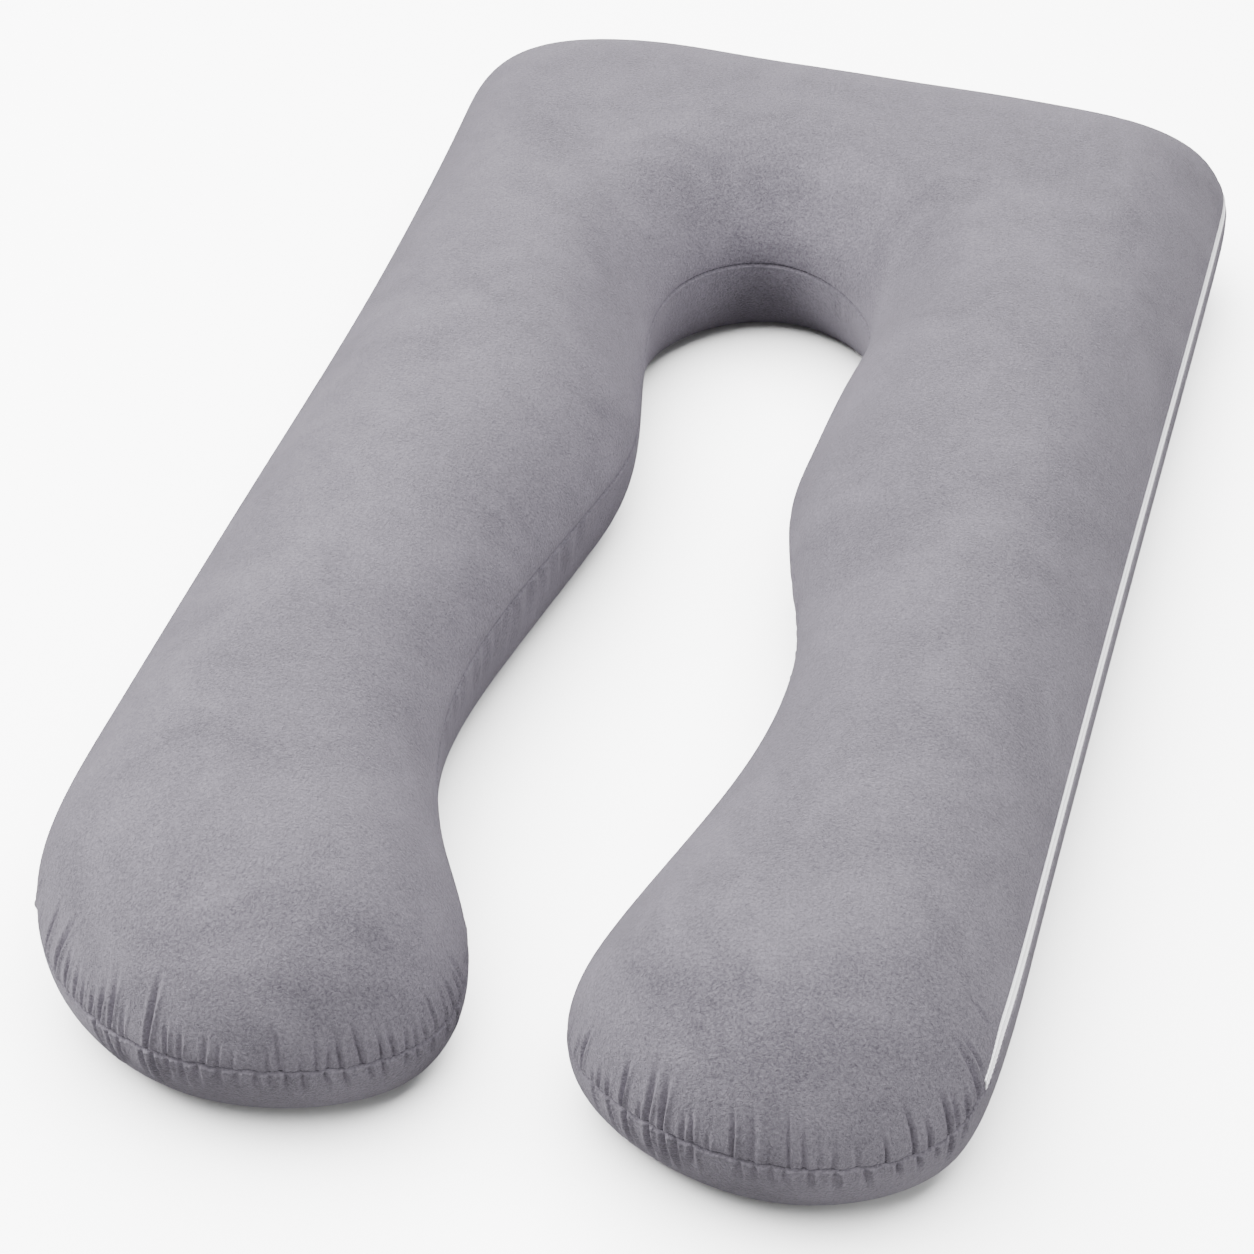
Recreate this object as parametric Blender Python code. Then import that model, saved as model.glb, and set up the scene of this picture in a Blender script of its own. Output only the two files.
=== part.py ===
"""Full-body pregnancy pillow: a stuffed U of two velvet panels with a zip down one side.

Units are metres, +Z is up and the floor is z = 0. The origin is the middle of the plan's
bounding box. The head bar lies towards +Y, the two legs point to -Y and the zip is at +X.
"""

import math

import bmesh
import bpy
import numpy as np
from mathutils import Matrix, Vector, geometry

# The stuffed body, all over
PILLOW_HEIGHT = 0.207
TOP_RISE_REACH = 0.1275
TOP_RISE_POWER = 1.76
UNDER_RISE_REACH = 0.0587
UNDER_RISE_POWER = 2.21

# The cut outline at the seam, one row for each place and its two sides. The height is
# that of the widest line there, where the cloth stands upright.
# place, right x, right y, right height, left x, left y, left height
OUTLINE_PAIRS = (
    ("arch side", 0.0890, 0.3338, 0.093, -0.1005, 0.3403, 0.105),
    ("neck top", 0.0940, 0.2056, 0.101, -0.1040, 0.2040, 0.102),
    ("neck middle", 0.0850, 0.0858, 0.100, -0.0805, 0.0861, 0.100),
    ("neck bottom", 0.0877, -0.0071, 0.104, -0.0874, -0.0074, 0.103),
    ("waist top", 0.1305, -0.1635, 0.114, -0.1149, -0.1645, 0.114),
    ("waist bottom", 0.1290, -0.3395, 0.117, -0.1283, -0.3398, 0.117),
    ("foot shoulder", 0.0885, -0.4761, 0.104, -0.0888, -0.4771, 0.104),
    ("foot inner side", 0.0580, -0.5470, 0.074, -0.0490, -0.5449, 0.074),
    ("foot inner corner", 0.0615, -0.6370, 0.072, -0.0515, -0.6582, 0.072),
    ("foot end", 0.2238, -0.7125, 0.081, -0.2219, -0.7258, 0.079),
    ("foot outer corner", 0.3545, -0.6550, 0.083, -0.3585, -0.6555, 0.080),
    ("foot outer side", 0.3808, -0.5939, 0.110, -0.3865, -0.5958, 0.112),
    ("leg side low", 0.3875, -0.4304, 0.112, -0.3965, -0.4303, 0.113),
    ("leg side middle", 0.3938, -0.1232, 0.106, -0.3948, -0.1233, 0.107),
    ("leg side high", 0.4022, 0.2316, 0.095, -0.3946, 0.2316, 0.095),
    ("head side", 0.4108, 0.5652, 0.092, -0.4078, 0.5652, 0.091),
    ("head corner", 0.3945, 0.6525, 0.095, -0.3958, 0.6530, 0.095),
    ("head end", 0.2684, 0.7030, 0.094, -0.2693, 0.7228, 0.095),
)
ARCH_CROWN = (-0.0093, 0.4070, 0.0985)
HEAD_MIDDLE = (0.0001, 0.7172, 0.0945)
OUTLINE_SAMPLES = 3000
NEAREST = 0.0001

# The seam's groove between the two panels, and its rounded lips
SEAM_DEPTH = 0.0035
SEAM_WIDTH = 0.0050
LIP_HEIGHT = 0.0012
LIP_DISTANCE = 0.0130
LIP_WIDTH = 0.0070

# The zip, in its own shallow channel above the widest line of the +X side
ZIP_START = 0.193
ZIP_LENGTH = 1.280
ZIP_RAMP = 0.090
ZIP_RISE_LOW = 0.0160
ZIP_RISE_HIGH = 0.0196
ZIP_WIDTH = 0.0120
ZIP_THICKNESS = 0.0018
ZIP_RIDGE_WIDTH = 0.0044
ZIP_RIDGE_HEIGHT = 0.0009
GAP = 0.0003
CHANNEL_DEPTH = ZIP_THICKNESS + GAP
CHANNEL_FLOOR = ZIP_WIDTH / 2 + GAP
CHANNEL_LIP = CHANNEL_FLOOR + 0.0012

# Gathers where the panels are eased round each foot. Lengths in millimetres: place along
# the seam from the foot's end (towards +X), reach from the seam, lean at the far end,
# half width of the trough, depth of the trough.
RIGHT_TOP_GATHERS = (
    (-191, 40, 2, 9, 3.0),
    (-157, 56, -2, 8, 4.5),
    (-135, 34, 0, 7, 2.5),
    (-111, 58, -2, 8, 4.5),
    (-73, 62, -2, 11, 5.5),
    (-48, 42, -4, 7, 3.0),
    (-15, 56, -6, 7, 3.5),
    (32, 60, -4, 9, 3.0),
    (100, 38, -6, 8, 2.5),
    (122, 60, -11, 8, 4.5),
    (151, 56, -7, 8, 4.5),
    (183, 70, -6, 9, 6.5),
)
RIGHT_UNDER_GATHERS = (
    (-126, 40, 9, 8, 3.0),
    (-105, 44, 8, 8, 3.5),
    (-73, 44, 4, 9, 3.5),
    (-49, 32, 0, 8, 2.5),
    (0, 28, 2, 9, 2.0),
    (43, 26, 0, 9, 2.0),
    (83, 28, 2, 9, 2.0),
    (109, 28, 2, 8, 2.5),
    (152, 38, 0, 8, 3.0),
)
LEFT_TOP_GATHERS = (
    (-216, 50, 0, 8, 4.0),
    (-177, 68, 2, 8, 4.5),
    (-153, 78, 14, 8, 4.0),
    (-126, 50, 3, 8, 3.0),
    (-96, 54, 4, 8, 3.5),
    (-46, 76, 5, 10, 6.5),
    (-26, 42, 0, 7, 3.5),
    (4, 36, 4, 8, 2.5),
    (63, 56, -4, 8, 2.5),
    (96, 50, 7, 8, 3.0),
    (126, 54, -6, 9, 4.0),
    (149, 46, -4, 8, 4.0),
    (190, 52, -4, 7, 4.0),
    (214, 46, -4, 8, 4.5),
    (243, 54, -4, 8, 3.5),
)
LEFT_UNDER_GATHERS = (
    (-103, 50, 11, 8, 3.0),
    (-81, 44, 0, 8, 3.0),
    (-47, 46, 4, 9, 3.5),
    (-24, 32, 0, 8, 2.5),
    (15, 28, 0, 9, 2.0),
    (53, 24, 0, 9, 2.0),
    (94, 28, 4, 8, 3.0),
    (134, 26, 1, 8, 2.5),
    (164, 28, 0, 8, 2.5),
    (214, 32, -3, 8, 2.5),
)
MILLIMETRE = 0.001

# Soft pulls in the top panel, each from a start near the seam to its far end:
# name, start x, start y, far x, far y, half width, depth
TOP_PULLS = (
    ("left of the arch", -0.105, 0.235, -0.200, 0.400, 0.024, 0.0030),
    ("right of the arch", 0.085, 0.330, 0.215, 0.450, 0.024, 0.0030),
    ("right foot shoulder", 0.125, -0.385, 0.180, -0.215, 0.022, 0.0022),
    ("left foot shoulder", -0.120, -0.370, -0.200, -0.280, 0.022, 0.0022),
)

# The low, broad unevenness of the stuffing: waves across the plan, in radians a metre
# share, x rate, y rate, start, second x rate, second y rate, second start
STUFFING_WAVES = (
    (1.0, 17.0, 5.0, 0.6, -4.0, 13.0, 1.9),
    (0.7, 29.0, -11.0, 2.2, 9.0, 23.0, 0.0),
)
UNEVENNESS = 0.0016

# Spacing of the mesh along the seam, on the sides, at the corners and at the feet
SIDE_STEP = 0.0300
CORNER_STEP = 0.0160
GATHER_STEP = 0.0072
STEP_CHANGE = 0.100
CORNER_STRETCH = 0.160
GATHER_STRETCH = 0.360
CORNERS = ((0.385, 0.645), (-0.385, 0.645), (0.0, 0.360))

# Distances of the mesh's rows from the seam, and the pitch of the panels' middles
TOP_ROWS = (0.018, 0.036, 0.058, 0.082)
UNDER_ROWS = (0.018, 0.034, 0.056, 0.084)
TOP_GRID = 0.046
UNDER_GRID = 0.110
SECTION_ANGLES = 181
SLOPE_STEP = 0.002
BESIDE_EDGE = 0.004

VELVET_COLOUR = (0.374, 0.368, 0.402, 1.0)
VELVET_ROUGHNESS = 0.92
ZIP_COLOUR = (0.86, 0.86, 0.88, 1.0)
ZIP_ROUGHNESS = 0.60


def clear_scene():
    """Remove every object that is already in the scene."""
    for thing in list(bpy.data.objects):
        bpy.data.objects.remove(thing, do_unlink=True)


def plain_material(name, colour, roughness):
    """Return a Principled material of one colour."""
    material = bpy.data.materials.new(name)
    material.use_nodes = True
    shader = material.node_tree.nodes["Principled BSDF"]
    shader.inputs["Base Color"].default_value = colour
    shader.inputs["Roughness"].default_value = roughness
    shader.inputs["Metallic"].default_value = 0.0
    return material


def smooth_step(value):
    """Rise smoothly from 0 to 1 as the value goes from 0 to 1."""
    value = np.clip(value, 0.0, 1.0)
    return value * value * (3.0 - 2.0 * value)


def outline_points():
    """Return the outline's points in order: arch, right leg, head, left leg."""
    right = [row[1:4] for row in OUTLINE_PAIRS]
    left = [row[4:7] for row in reversed(OUTLINE_PAIRS)]
    return np.array([ARCH_CROWN, *right, HEAD_MIDDLE, *left])


def closed_spline(points, samples):
    """Return samples, evenly spaced, of the closed cubic spline through the points."""
    count = len(points)
    chords = np.linalg.norm(np.roll(points, -1, axis=0)[:, :2] - points[:, :2], axis=1)
    spans = np.sqrt(chords)
    slopes = (np.roll(points, -1, axis=0) - points) / spans[:, None]
    system = np.zeros((count, count))
    for index in range(count):
        before = spans[index - 1]
        after = spans[index]
        system[index, index - 1] += before
        system[index, index] += 2.0 * (before + after)
        system[index, (index + 1) % count] += after
    bends = np.linalg.solve(system, 6.0 * (slopes - np.roll(slopes, 1, axis=0)))
    steps = np.linspace(0.0, 1.0, 2 * samples // count, endpoint=False)[:, None]
    pieces = []
    for index in range(count):
        following = (index + 1) % count
        span = spans[index]
        rest = 1.0 - steps
        straight = rest * points[index] + steps * points[following]
        bend = (rest**3 - rest) * bends[index] + (steps**3 - steps) * bends[following]
        pieces.append(straight + bend * span * span / 6.0)
    dense = np.concatenate(pieces)
    dense = np.concatenate([dense, dense[:1]])
    lengths = np.linalg.norm(np.diff(dense[:, :2], axis=0), axis=1)
    travelled = np.concatenate([[0.0], np.cumsum(lengths)])
    places = np.linspace(0.0, travelled[-1], samples, endpoint=False)
    columns = [np.interp(places, travelled, dense[:, axis]) for axis in range(3)]
    return np.column_stack(columns), places, travelled[-1]


class Outline:
    """The seam line in plan, with its length, inward directions and heights."""

    def __init__(self):
        """Lay the spline through the table's points and centre it on the origin."""
        samples, self.places, self.length = closed_spline(outline_points(), OUTLINE_SAMPLES)
        low = samples[:, :2].min(axis=0)
        high = samples[:, :2].max(axis=0)
        self.plan = samples[:, :2] - (low + high) / 2.0
        self.heights = samples[:, 2]
        ahead = np.roll(self.plan, -1, axis=0) - np.roll(self.plan, 1, axis=0)
        ahead /= np.linalg.norm(ahead, axis=1)[:, None]
        # The loop runs anticlockwise round the cloth, so inward is to the left
        self.inward = np.column_stack([-ahead[:, 1], ahead[:, 0]])
        self.right_end = self.foot_end(self.plan[:, 0] > 0.0)
        self.left_end = self.foot_end(self.plan[:, 0] < 0.0)

    def foot_end(self, side):
        """Return the place of the lowest point, in plan, of one leg."""
        chosen = np.flatnonzero(side)
        return self.places[chosen[np.argmin(self.plan[chosen, 1])]]

    def read(self, column, where):
        """Read one of the outline's columns at places along it."""
        places = np.append(self.places, self.length)
        closed = np.append(column, column[0])
        return np.interp(np.mod(where, self.length), places, closed)

    def at(self, where):
        """Return plan points, inward directions and heights at places along the outline."""
        plan = np.column_stack([self.read(self.plan[:, axis], where) for axis in (0, 1)])
        inward = np.column_stack([self.read(self.inward[:, axis], where) for axis in (0, 1)])
        inward /= np.linalg.norm(inward, axis=1)[:, None]
        return plan, inward, self.read(self.heights, where)

    def from_end(self, where, end):
        """Return the signed distance along the outline from a foot's end."""
        return np.mod(where - end + self.length / 2.0, self.length) - self.length / 2.0


def edge_field(points, outline):
    """Return the smoothed distance to the edge and the edge height felt at plan points.

    Every stretch of the edge adds 1 / distance^5, so the field equals the true distance
    beside the edge and has no crease along the middle of a leg.
    """
    stretch = outline.length / OUTLINE_SAMPLES
    distance = np.empty(len(points))
    height = np.empty(len(points))
    for start in range(0, len(points), 400):
        part = slice(start, start + 400)
        offset = points[part, None, :] - outline.plan[None, :, :]
        weight = np.maximum((offset**2).sum(axis=2), NEAREST**2) ** -2.5
        total = weight.sum(axis=1)
        distance[part] = (4.0 / 3.0 / (total * stretch)) ** 0.25
        height[part] = weight @ outline.heights / total
    return distance, height


def rise(share, power):
    """Return how far the cloth has risen, 0 to 1, at a share of the rise's reach."""
    share = np.clip(share, 0.0, 1.0)
    return (1.0 - (1.0 - share) ** power) ** (1.0 / power)


def rim_section(edge_height):
    """Return arc lengths, distances in and heights along one section, floor to crown."""
    turn = np.linspace(0.0, math.pi / 2.0, SECTION_ANGLES)
    top_in = TOP_RISE_REACH * (1.0 - np.cos(turn) ** (2.0 / TOP_RISE_POWER))
    top_up = np.sin(turn) ** (2.0 / TOP_RISE_POWER)
    under_in = UNDER_RISE_REACH * (1.0 - np.cos(turn) ** (2.0 / UNDER_RISE_POWER))
    under_up = np.sin(turn) ** (2.0 / UNDER_RISE_POWER)
    inside = np.concatenate([under_in[:0:-1], top_in])
    under_heights = edge_height * (1.0 - under_up[:0:-1])
    top_heights = edge_height + (PILLOW_HEIGHT - edge_height) * top_up
    heights = np.concatenate([under_heights, top_heights])
    lengths = np.hypot(np.diff(inside), np.diff(heights))
    arcs = np.concatenate([[0.0], np.cumsum(lengths)])
    return arcs - arcs[len(turn) - 1], inside, heights


def zip_place(outline, where):
    """Return the distance along the seam from the zip's lower end."""
    return outline.from_end(where, outline.right_end) - ZIP_START


def seam_rise(outline, where):
    """Return how far the seam lies above the widest line, as a length of cloth."""
    place = zip_place(outline, where)
    share = np.clip(place / ZIP_LENGTH, 0.0, 1.0)
    full = ZIP_RISE_LOW + (ZIP_RISE_HIGH - ZIP_RISE_LOW) * share
    into = smooth_step((place + ZIP_RAMP / 2.0) / ZIP_RAMP)
    out = smooth_step((ZIP_LENGTH + 1.5 * ZIP_RAMP - place) / ZIP_RAMP)
    return full * into * out


def in_channel(outline, where):
    """Tell which places along the seam lie in the zip's channel."""
    place = zip_place(outline, where)
    return (place > 0.0) & (place < ZIP_LENGTH)


def station_places(outline):
    """Return the places of the mesh's sections, close at the feet and the head's corners."""
    where = outline.places
    step = np.full(len(where), SIDE_STEP)
    for corner in CORNERS:
        nearest = where[np.argmin(np.linalg.norm(outline.plan - np.array(corner), axis=1))]
        away = np.abs(outline.from_end(where, nearest))
        near = smooth_step((CORNER_STRETCH - away) / STEP_CHANGE)
        step = np.minimum(step, SIDE_STEP + (CORNER_STEP - SIDE_STEP) * near)
    for end in (outline.right_end, outline.left_end):
        away = np.abs(outline.from_end(where, end))
        near = smooth_step((GATHER_STRETCH - away) / STEP_CHANGE)
        step = np.minimum(step, SIDE_STEP + (GATHER_STEP - SIDE_STEP) * near)
    counted = np.concatenate([[0.0], np.cumsum(outline.length / OUTLINE_SAMPLES / step)])
    total = int(round(counted[-1]))
    wanted = np.arange(total) * counted[-1] / total
    return np.interp(wanted, counted, np.append(where, outline.length))


def gather_relief(along, away, gathers):
    """Return the height added by the gathers at places beside the seam."""
    relief = np.zeros(len(along))
    for place, reach, lean, width, depth in gathers:
        out = np.clip(np.abs(away) / (reach * MILLIMETRE), 0.0, 1.0)
        centre = place * MILLIMETRE + lean * MILLIMETRE * out
        across = (along - centre) / (width * MILLIMETRE)
        trough = np.exp(-(across**2)) * (1.0 - 0.5 * across**2)
        relief -= depth * MILLIMETRE * trough * (1.0 - out**2) ** 2
    return relief


def pull_relief(points):
    """Return the height added by the soft pulls of the top panel at plan points."""
    relief = np.zeros(len(points))
    for _, start_x, start_y, far_x, far_y, width, depth in TOP_PULLS:
        start = np.array([start_x, start_y])
        run = np.array([far_x, far_y]) - start
        length = np.linalg.norm(run)
        along = (points - start) @ run / length**2
        across = ((points - start) @ np.array([-run[1], run[0]]) / length) / width
        fade = smooth_step(along * 4.0 + 0.5) * smooth_step((1.15 - along) * 2.0)
        relief -= depth * np.exp(-(across**2)) * (1.0 - 0.5 * across**2) * fade
    return relief


def stuffing_relief(points):
    """Return the low, broad unevenness of the stuffing at plan points."""
    x, y = points[:, 0], points[:, 1]
    waves = np.zeros(len(points))
    for share, x_rate, y_rate, start, x_second, y_second, second in STUFFING_WAVES:
        wave = np.sin(x_rate * x + y_rate * y + start)
        waves += share * wave * np.sin(x_second * x + y_second * y + second)
    return UNEVENNESS * waves


def seam_relief(away):
    """Return the groove and lips beside the seam where no zip is sewn in."""
    groove = -SEAM_DEPTH * np.exp(-((away / SEAM_WIDTH) ** 2))
    lips = LIP_HEIGHT * np.exp(-(((np.abs(away) - LIP_DISTANCE) / LIP_WIDTH) ** 2))
    return groove + lips


class Rim:
    """The rows of the mesh that run beside the seam, both panels."""

    def __init__(self, outline):
        """Work out every row's points, from the floor's edge up to the last top row."""
        self.outline = outline
        self.where = station_places(outline)
        self.plan, self.inward, self.heights = outline.at(self.where)
        self.seam = seam_rise(outline, self.where)
        self.channel = in_channel(outline, self.where)
        near = (CHANNEL_FLOOR, CHANNEL_LIP)
        top_away = (*near, *TOP_ROWS)
        under_away = (*near, *UNDER_ROWS)
        self.away = np.array([*[-away for away in reversed(under_away)], 0.0, *top_away])
        self.sections = [rim_section(height) for height in self.heights]
        self.rows = [self.floor_row()]
        for away in self.away:
            self.rows.append(self.row(away))

    def floor_row(self):
        """Return the row where the under panel meets the floor."""
        plan = self.plan + self.inward * UNDER_RISE_REACH
        return np.column_stack([plan, np.zeros(len(plan))])

    def on_section(self, away):
        """Return distances in, slopes and arcs of the row at one distance from the seam."""
        arcs = self.seam + away
        inside = np.empty(len(arcs))
        slope = np.empty((len(arcs), 2))
        for index, (lengths, insides, heights) in enumerate(self.sections):
            ends = arcs[index] + np.array([-SLOPE_STEP, 0.0, SLOPE_STEP])
            inside_three = np.interp(ends, lengths, insides)
            height_three = np.interp(ends, lengths, heights)
            inside[index] = inside_three[1]
            slope[index] = (inside_three[2] - inside_three[0], height_three[2] - height_three[0])
        slope /= np.linalg.norm(slope, axis=1)[:, None]
        return inside, slope, arcs

    def row(self, away):
        """Return one row's points, with the groove, the channel and the gathers."""
        inside, slope, arcs = self.on_section(away)
        plan = self.plan + self.inward * inside[:, None]
        height = surface_height(plan, self.outline, arcs, inside, self.heights)
        outward = np.column_stack([-slope[:, 1:2] * self.inward, slope[:, 0]])
        relief = seam_relief(np.full(len(arcs), away))
        relief += self.gathers(away)
        relief = np.where(self.channel & (abs(away) < CHANNEL_LIP), -CHANNEL_DEPTH, relief)
        relief = np.where(self.channel & (abs(away) == CHANNEL_LIP), 0.0, relief)
        points = np.column_stack([plan, height]) + outward * relief[:, None]
        points[:, 2] = np.maximum(points[:, 2], 0.0)
        return points

    def gathers(self, away):
        """Return the gathers' relief on one row."""
        right = self.outline.from_end(self.where, self.outline.right_end)
        left = self.outline.from_end(self.where, self.outline.left_end)
        right_table = RIGHT_TOP_GATHERS if away >= 0.0 else RIGHT_UNDER_GATHERS
        left_table = LEFT_TOP_GATHERS if away >= 0.0 else LEFT_UNDER_GATHERS
        across = np.full(len(right), away)
        relief = gather_relief(right, across, right_table)
        return relief + gather_relief(left, across, left_table)


def surface_height(plan, outline, arcs, inside, edge_heights):
    """Return the cloth's height over plan points of known distance from the edge."""
    felt, felt_height = edge_field(plan, outline)
    beside_edge = inside < BESIDE_EDGE
    felt = np.where(beside_edge, inside, felt)
    felt_height = np.where(beside_edge, edge_heights, felt_height)
    crown = PILLOW_HEIGHT - felt_height
    top = felt_height + crown * rise(felt / TOP_RISE_REACH, TOP_RISE_POWER)
    top += (pull_relief(plan) + stuffing_relief(plan)) * smooth_step(felt / TOP_RISE_REACH)
    under = edge_heights * (1.0 - rise(inside / UNDER_RISE_REACH, UNDER_RISE_POWER))
    return np.where(arcs >= 0.0, top, under)


def inside_grid(loop, pitch, margin):
    """Return the points of a triangular grid that lie inside a plan loop."""
    low = loop.min(axis=0)
    high = loop.max(axis=0)
    points = []
    rows = int((high[1] - low[1]) / (pitch * math.sqrt(0.75))) + 1
    for row in range(rows):
        y = low[1] + row * pitch * math.sqrt(0.75)
        shift = pitch / 2.0 if row % 2 else 0.0
        for x in np.arange(low[0] + shift, high[0], pitch):
            points.append((x, y))
    points = np.array(points)
    following = np.roll(loop, -1, axis=0)
    crossings = np.zeros(len(points), dtype=int)
    for (x0, y0), (x1, y1) in zip(loop, following):
        spans = (y0 > points[:, 1]) != (y1 > points[:, 1])
        lift = (y1 - y0) if y1 != y0 else 1.0
        crossing_x = x0 + (points[:, 1] - y0) * (x1 - x0) / lift
        crossings += spans & (points[:, 0] < crossing_x)
    inner = points[crossings % 2 == 1]
    gaps = np.linalg.norm(inner[:, None, :] - loop[None, :, :], axis=2).min(axis=1)
    return inner[gaps > margin]


def fill_panel(mesh, loop_verts, pitch, height_of):
    """Fill the middle of a panel inside its last row with near-regular triangles."""
    loop = np.array([vert.co[:2] for vert in loop_verts])
    middle = inside_grid(loop, pitch, 0.45 * pitch)
    heights = height_of(middle)
    verts = list(loop_verts)
    for point, height in zip(middle, heights):
        verts.append(mesh.verts.new((point[0], point[1], height)))
    flat = [Vector(point) for point in np.concatenate([loop, middle])]
    ring = [(index, (index + 1) % len(loop)) for index in range(len(loop))]
    _, _, triangles, _, _, _ = geometry.delaunay_2d_cdt(flat, ring, [], 1, 1e-7)
    for triangle in triangles:
        mesh.faces.new([verts[index] for index in triangle])


def finish_mesh(mesh, name, material, sharp_degrees):
    """Turn a bmesh into a smooth-shaded object with its material."""
    bmesh.ops.recalc_face_normals(mesh, faces=mesh.faces)
    if mesh.calc_volume(signed=True) < 0.0:
        bmesh.ops.reverse_faces(mesh, faces=mesh.faces)
    data = bpy.data.meshes.new(name)
    mesh.to_mesh(data)
    mesh.free()
    data.shade_smooth()
    data.set_sharp_from_angle(angle=math.radians(sharp_degrees))
    data.materials.append(material)
    thing = bpy.data.objects.new(name, data)
    bpy.context.collection.objects.link(thing)
    return thing


def build_pillow(outline, rim):
    """Make the stuffed body as one closed solid."""
    mesh = bmesh.new()
    rows = [[mesh.verts.new(point) for point in row] for row in rim.rows]
    for lower, upper in zip(rows, rows[1:]):
        for index in range(len(lower)):
            after = (index + 1) % len(lower)
            mesh.faces.new((lower[index], lower[after], upper[after], upper[index]))

    def top_height(points):
        """Return the top panel's height over its middle."""
        far = np.full(len(points), 1.0)
        return surface_height(points, outline, far, far, far)

    fill_panel(mesh, rows[-1], TOP_GRID, top_height)
    fill_panel(mesh, rows[0], UNDER_GRID, lambda points: np.zeros(len(points)))
    velvet = plain_material("grey_velvet", VELVET_COLOUR, VELVET_ROUGHNESS)
    return finish_mesh(mesh, "pillow", velvet, 60.0)


def build_zip(rim):
    """Make the zip's band, with the raised ridge of its closed coil, in its channel."""
    chosen = np.flatnonzero(rim.channel)
    # Across the band, in order round its section: distance from its middle, height
    base = GAP - CHANNEL_DEPTH
    tape = base + ZIP_THICKNESS - ZIP_RIDGE_HEIGHT
    section = (
        (-ZIP_WIDTH / 2, base),
        (0.0, base),
        (ZIP_WIDTH / 2, base),
        (ZIP_WIDTH / 2, tape),
        (ZIP_RIDGE_WIDTH / 2, tape),
        (ZIP_RIDGE_WIDTH / 3, tape + ZIP_RIDGE_HEIGHT),
        (-ZIP_RIDGE_WIDTH / 3, tape + ZIP_RIDGE_HEIGHT),
        (-ZIP_RIDGE_WIDTH / 2, tape),
        (-ZIP_WIDTH / 2, tape),
    )
    columns = []
    for away, level in section:
        inside, slope, arcs = rim.on_section(away)
        plan = rim.plan + rim.inward * inside[:, None]
        height = surface_height(plan, rim.outline, arcs, inside, rim.heights)
        outward = np.column_stack([-slope[:, 1:2] * rim.inward, slope[:, 0]])
        columns.append((np.column_stack([plan, height]) + outward * level)[chosen])
    mesh = bmesh.new()
    rings = [[mesh.verts.new(column[index]) for column in columns] for index in range(len(chosen))]
    for ring, following in zip(rings, rings[1:]):
        for corner in range(len(ring)):
            after = (corner + 1) % len(ring)
            mesh.faces.new((ring[corner], ring[after], following[after], following[corner]))
    mesh.faces.new(rings[0])
    mesh.faces.new(list(reversed(rings[-1])))
    bmesh.ops.triangulate(mesh, faces=[face for face in mesh.faces if len(face.verts) > 4])
    white = plain_material("white_zip", ZIP_COLOUR, ZIP_ROUGHNESS)
    return finish_mesh(mesh, "zip_band", white, 40.0)


def centre_on_origin(pillow, zip_band):
    """Move both pieces so that the pillow's box has its middle at the origin in plan."""
    corners = np.array([vert.co for vert in pillow.data.vertices])
    middle = (corners.min(axis=0) + corners.max(axis=0)) / 2.0
    for thing in (pillow, zip_band):
        thing.data.transform(Matrix.Translation((-middle[0], -middle[1], 0.0)))


def main():
    """Build the pillow and its zip."""
    clear_scene()
    outline = Outline()
    rim = Rim(outline)
    pillow = build_pillow(outline, rim)
    zip_band = build_zip(rim)
    centre_on_origin(pillow, zip_band)


main()
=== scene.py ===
"""Dressed model of a full-body pregnancy pillow in short velvet.

The stuffed body, its gathers, its seam and the zip down its +X side are built as meshes
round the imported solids, in metres, +Z up, and are lit and seen as in a plain studio.
"""

import logging
import math
from dataclasses import dataclass, field
from enum import Enum

import bmesh
import bpy
import numpy as np
from mathutils import Matrix, Vector, geometry


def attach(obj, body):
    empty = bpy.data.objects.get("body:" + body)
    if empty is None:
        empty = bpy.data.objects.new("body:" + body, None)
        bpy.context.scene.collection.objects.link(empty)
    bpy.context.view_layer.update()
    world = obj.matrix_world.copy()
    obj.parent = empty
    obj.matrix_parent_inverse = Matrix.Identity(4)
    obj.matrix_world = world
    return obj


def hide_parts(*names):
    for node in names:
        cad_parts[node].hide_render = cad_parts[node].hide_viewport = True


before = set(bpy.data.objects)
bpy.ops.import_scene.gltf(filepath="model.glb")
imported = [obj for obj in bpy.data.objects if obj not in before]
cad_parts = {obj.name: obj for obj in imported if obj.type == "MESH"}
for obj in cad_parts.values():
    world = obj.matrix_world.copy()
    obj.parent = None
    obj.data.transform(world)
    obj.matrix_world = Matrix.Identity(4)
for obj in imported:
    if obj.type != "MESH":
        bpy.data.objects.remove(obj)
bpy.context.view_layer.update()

LOG = logging.getLogger("pregnancy_pillow")
MM = 0.001
PHOTO_PIXELS = 1254

# The cross section of a gather, in half widths: a valley between two ridges
VALLEY_WIDTHS = (0.75, 0.6)
SHARP_FALL = 2.2
SHARP_ROUNDING = (0.02, 0.14)
SOFT_FALL = 1.6
RIDGE_PLACE = 1.35
RIDGE_SPREAD = 0.28
RIDGE_LEAN = (0.35, 2.0)
RIDGE_SHARE = 0.42
# How a gather comes up from the seam, in millimetres, and fades along its length
SEAM_RAMP = 4.5
CREASE_RAMP = 9.0
RAMP_LIFT = 0.12
FADE_SHARES = (0.78, 1.0)


class Panel(Enum):
    """The cut panels of the cover that meet at the seam."""

    TOP = 1
    UNDER = -1


@dataclass(frozen=True)
class SeamPlace:
    """One place of the cut outline and its two sides, right and left, in metres."""

    name: str
    right: tuple[float, float, float]
    left: tuple[float, float, float]


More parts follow.
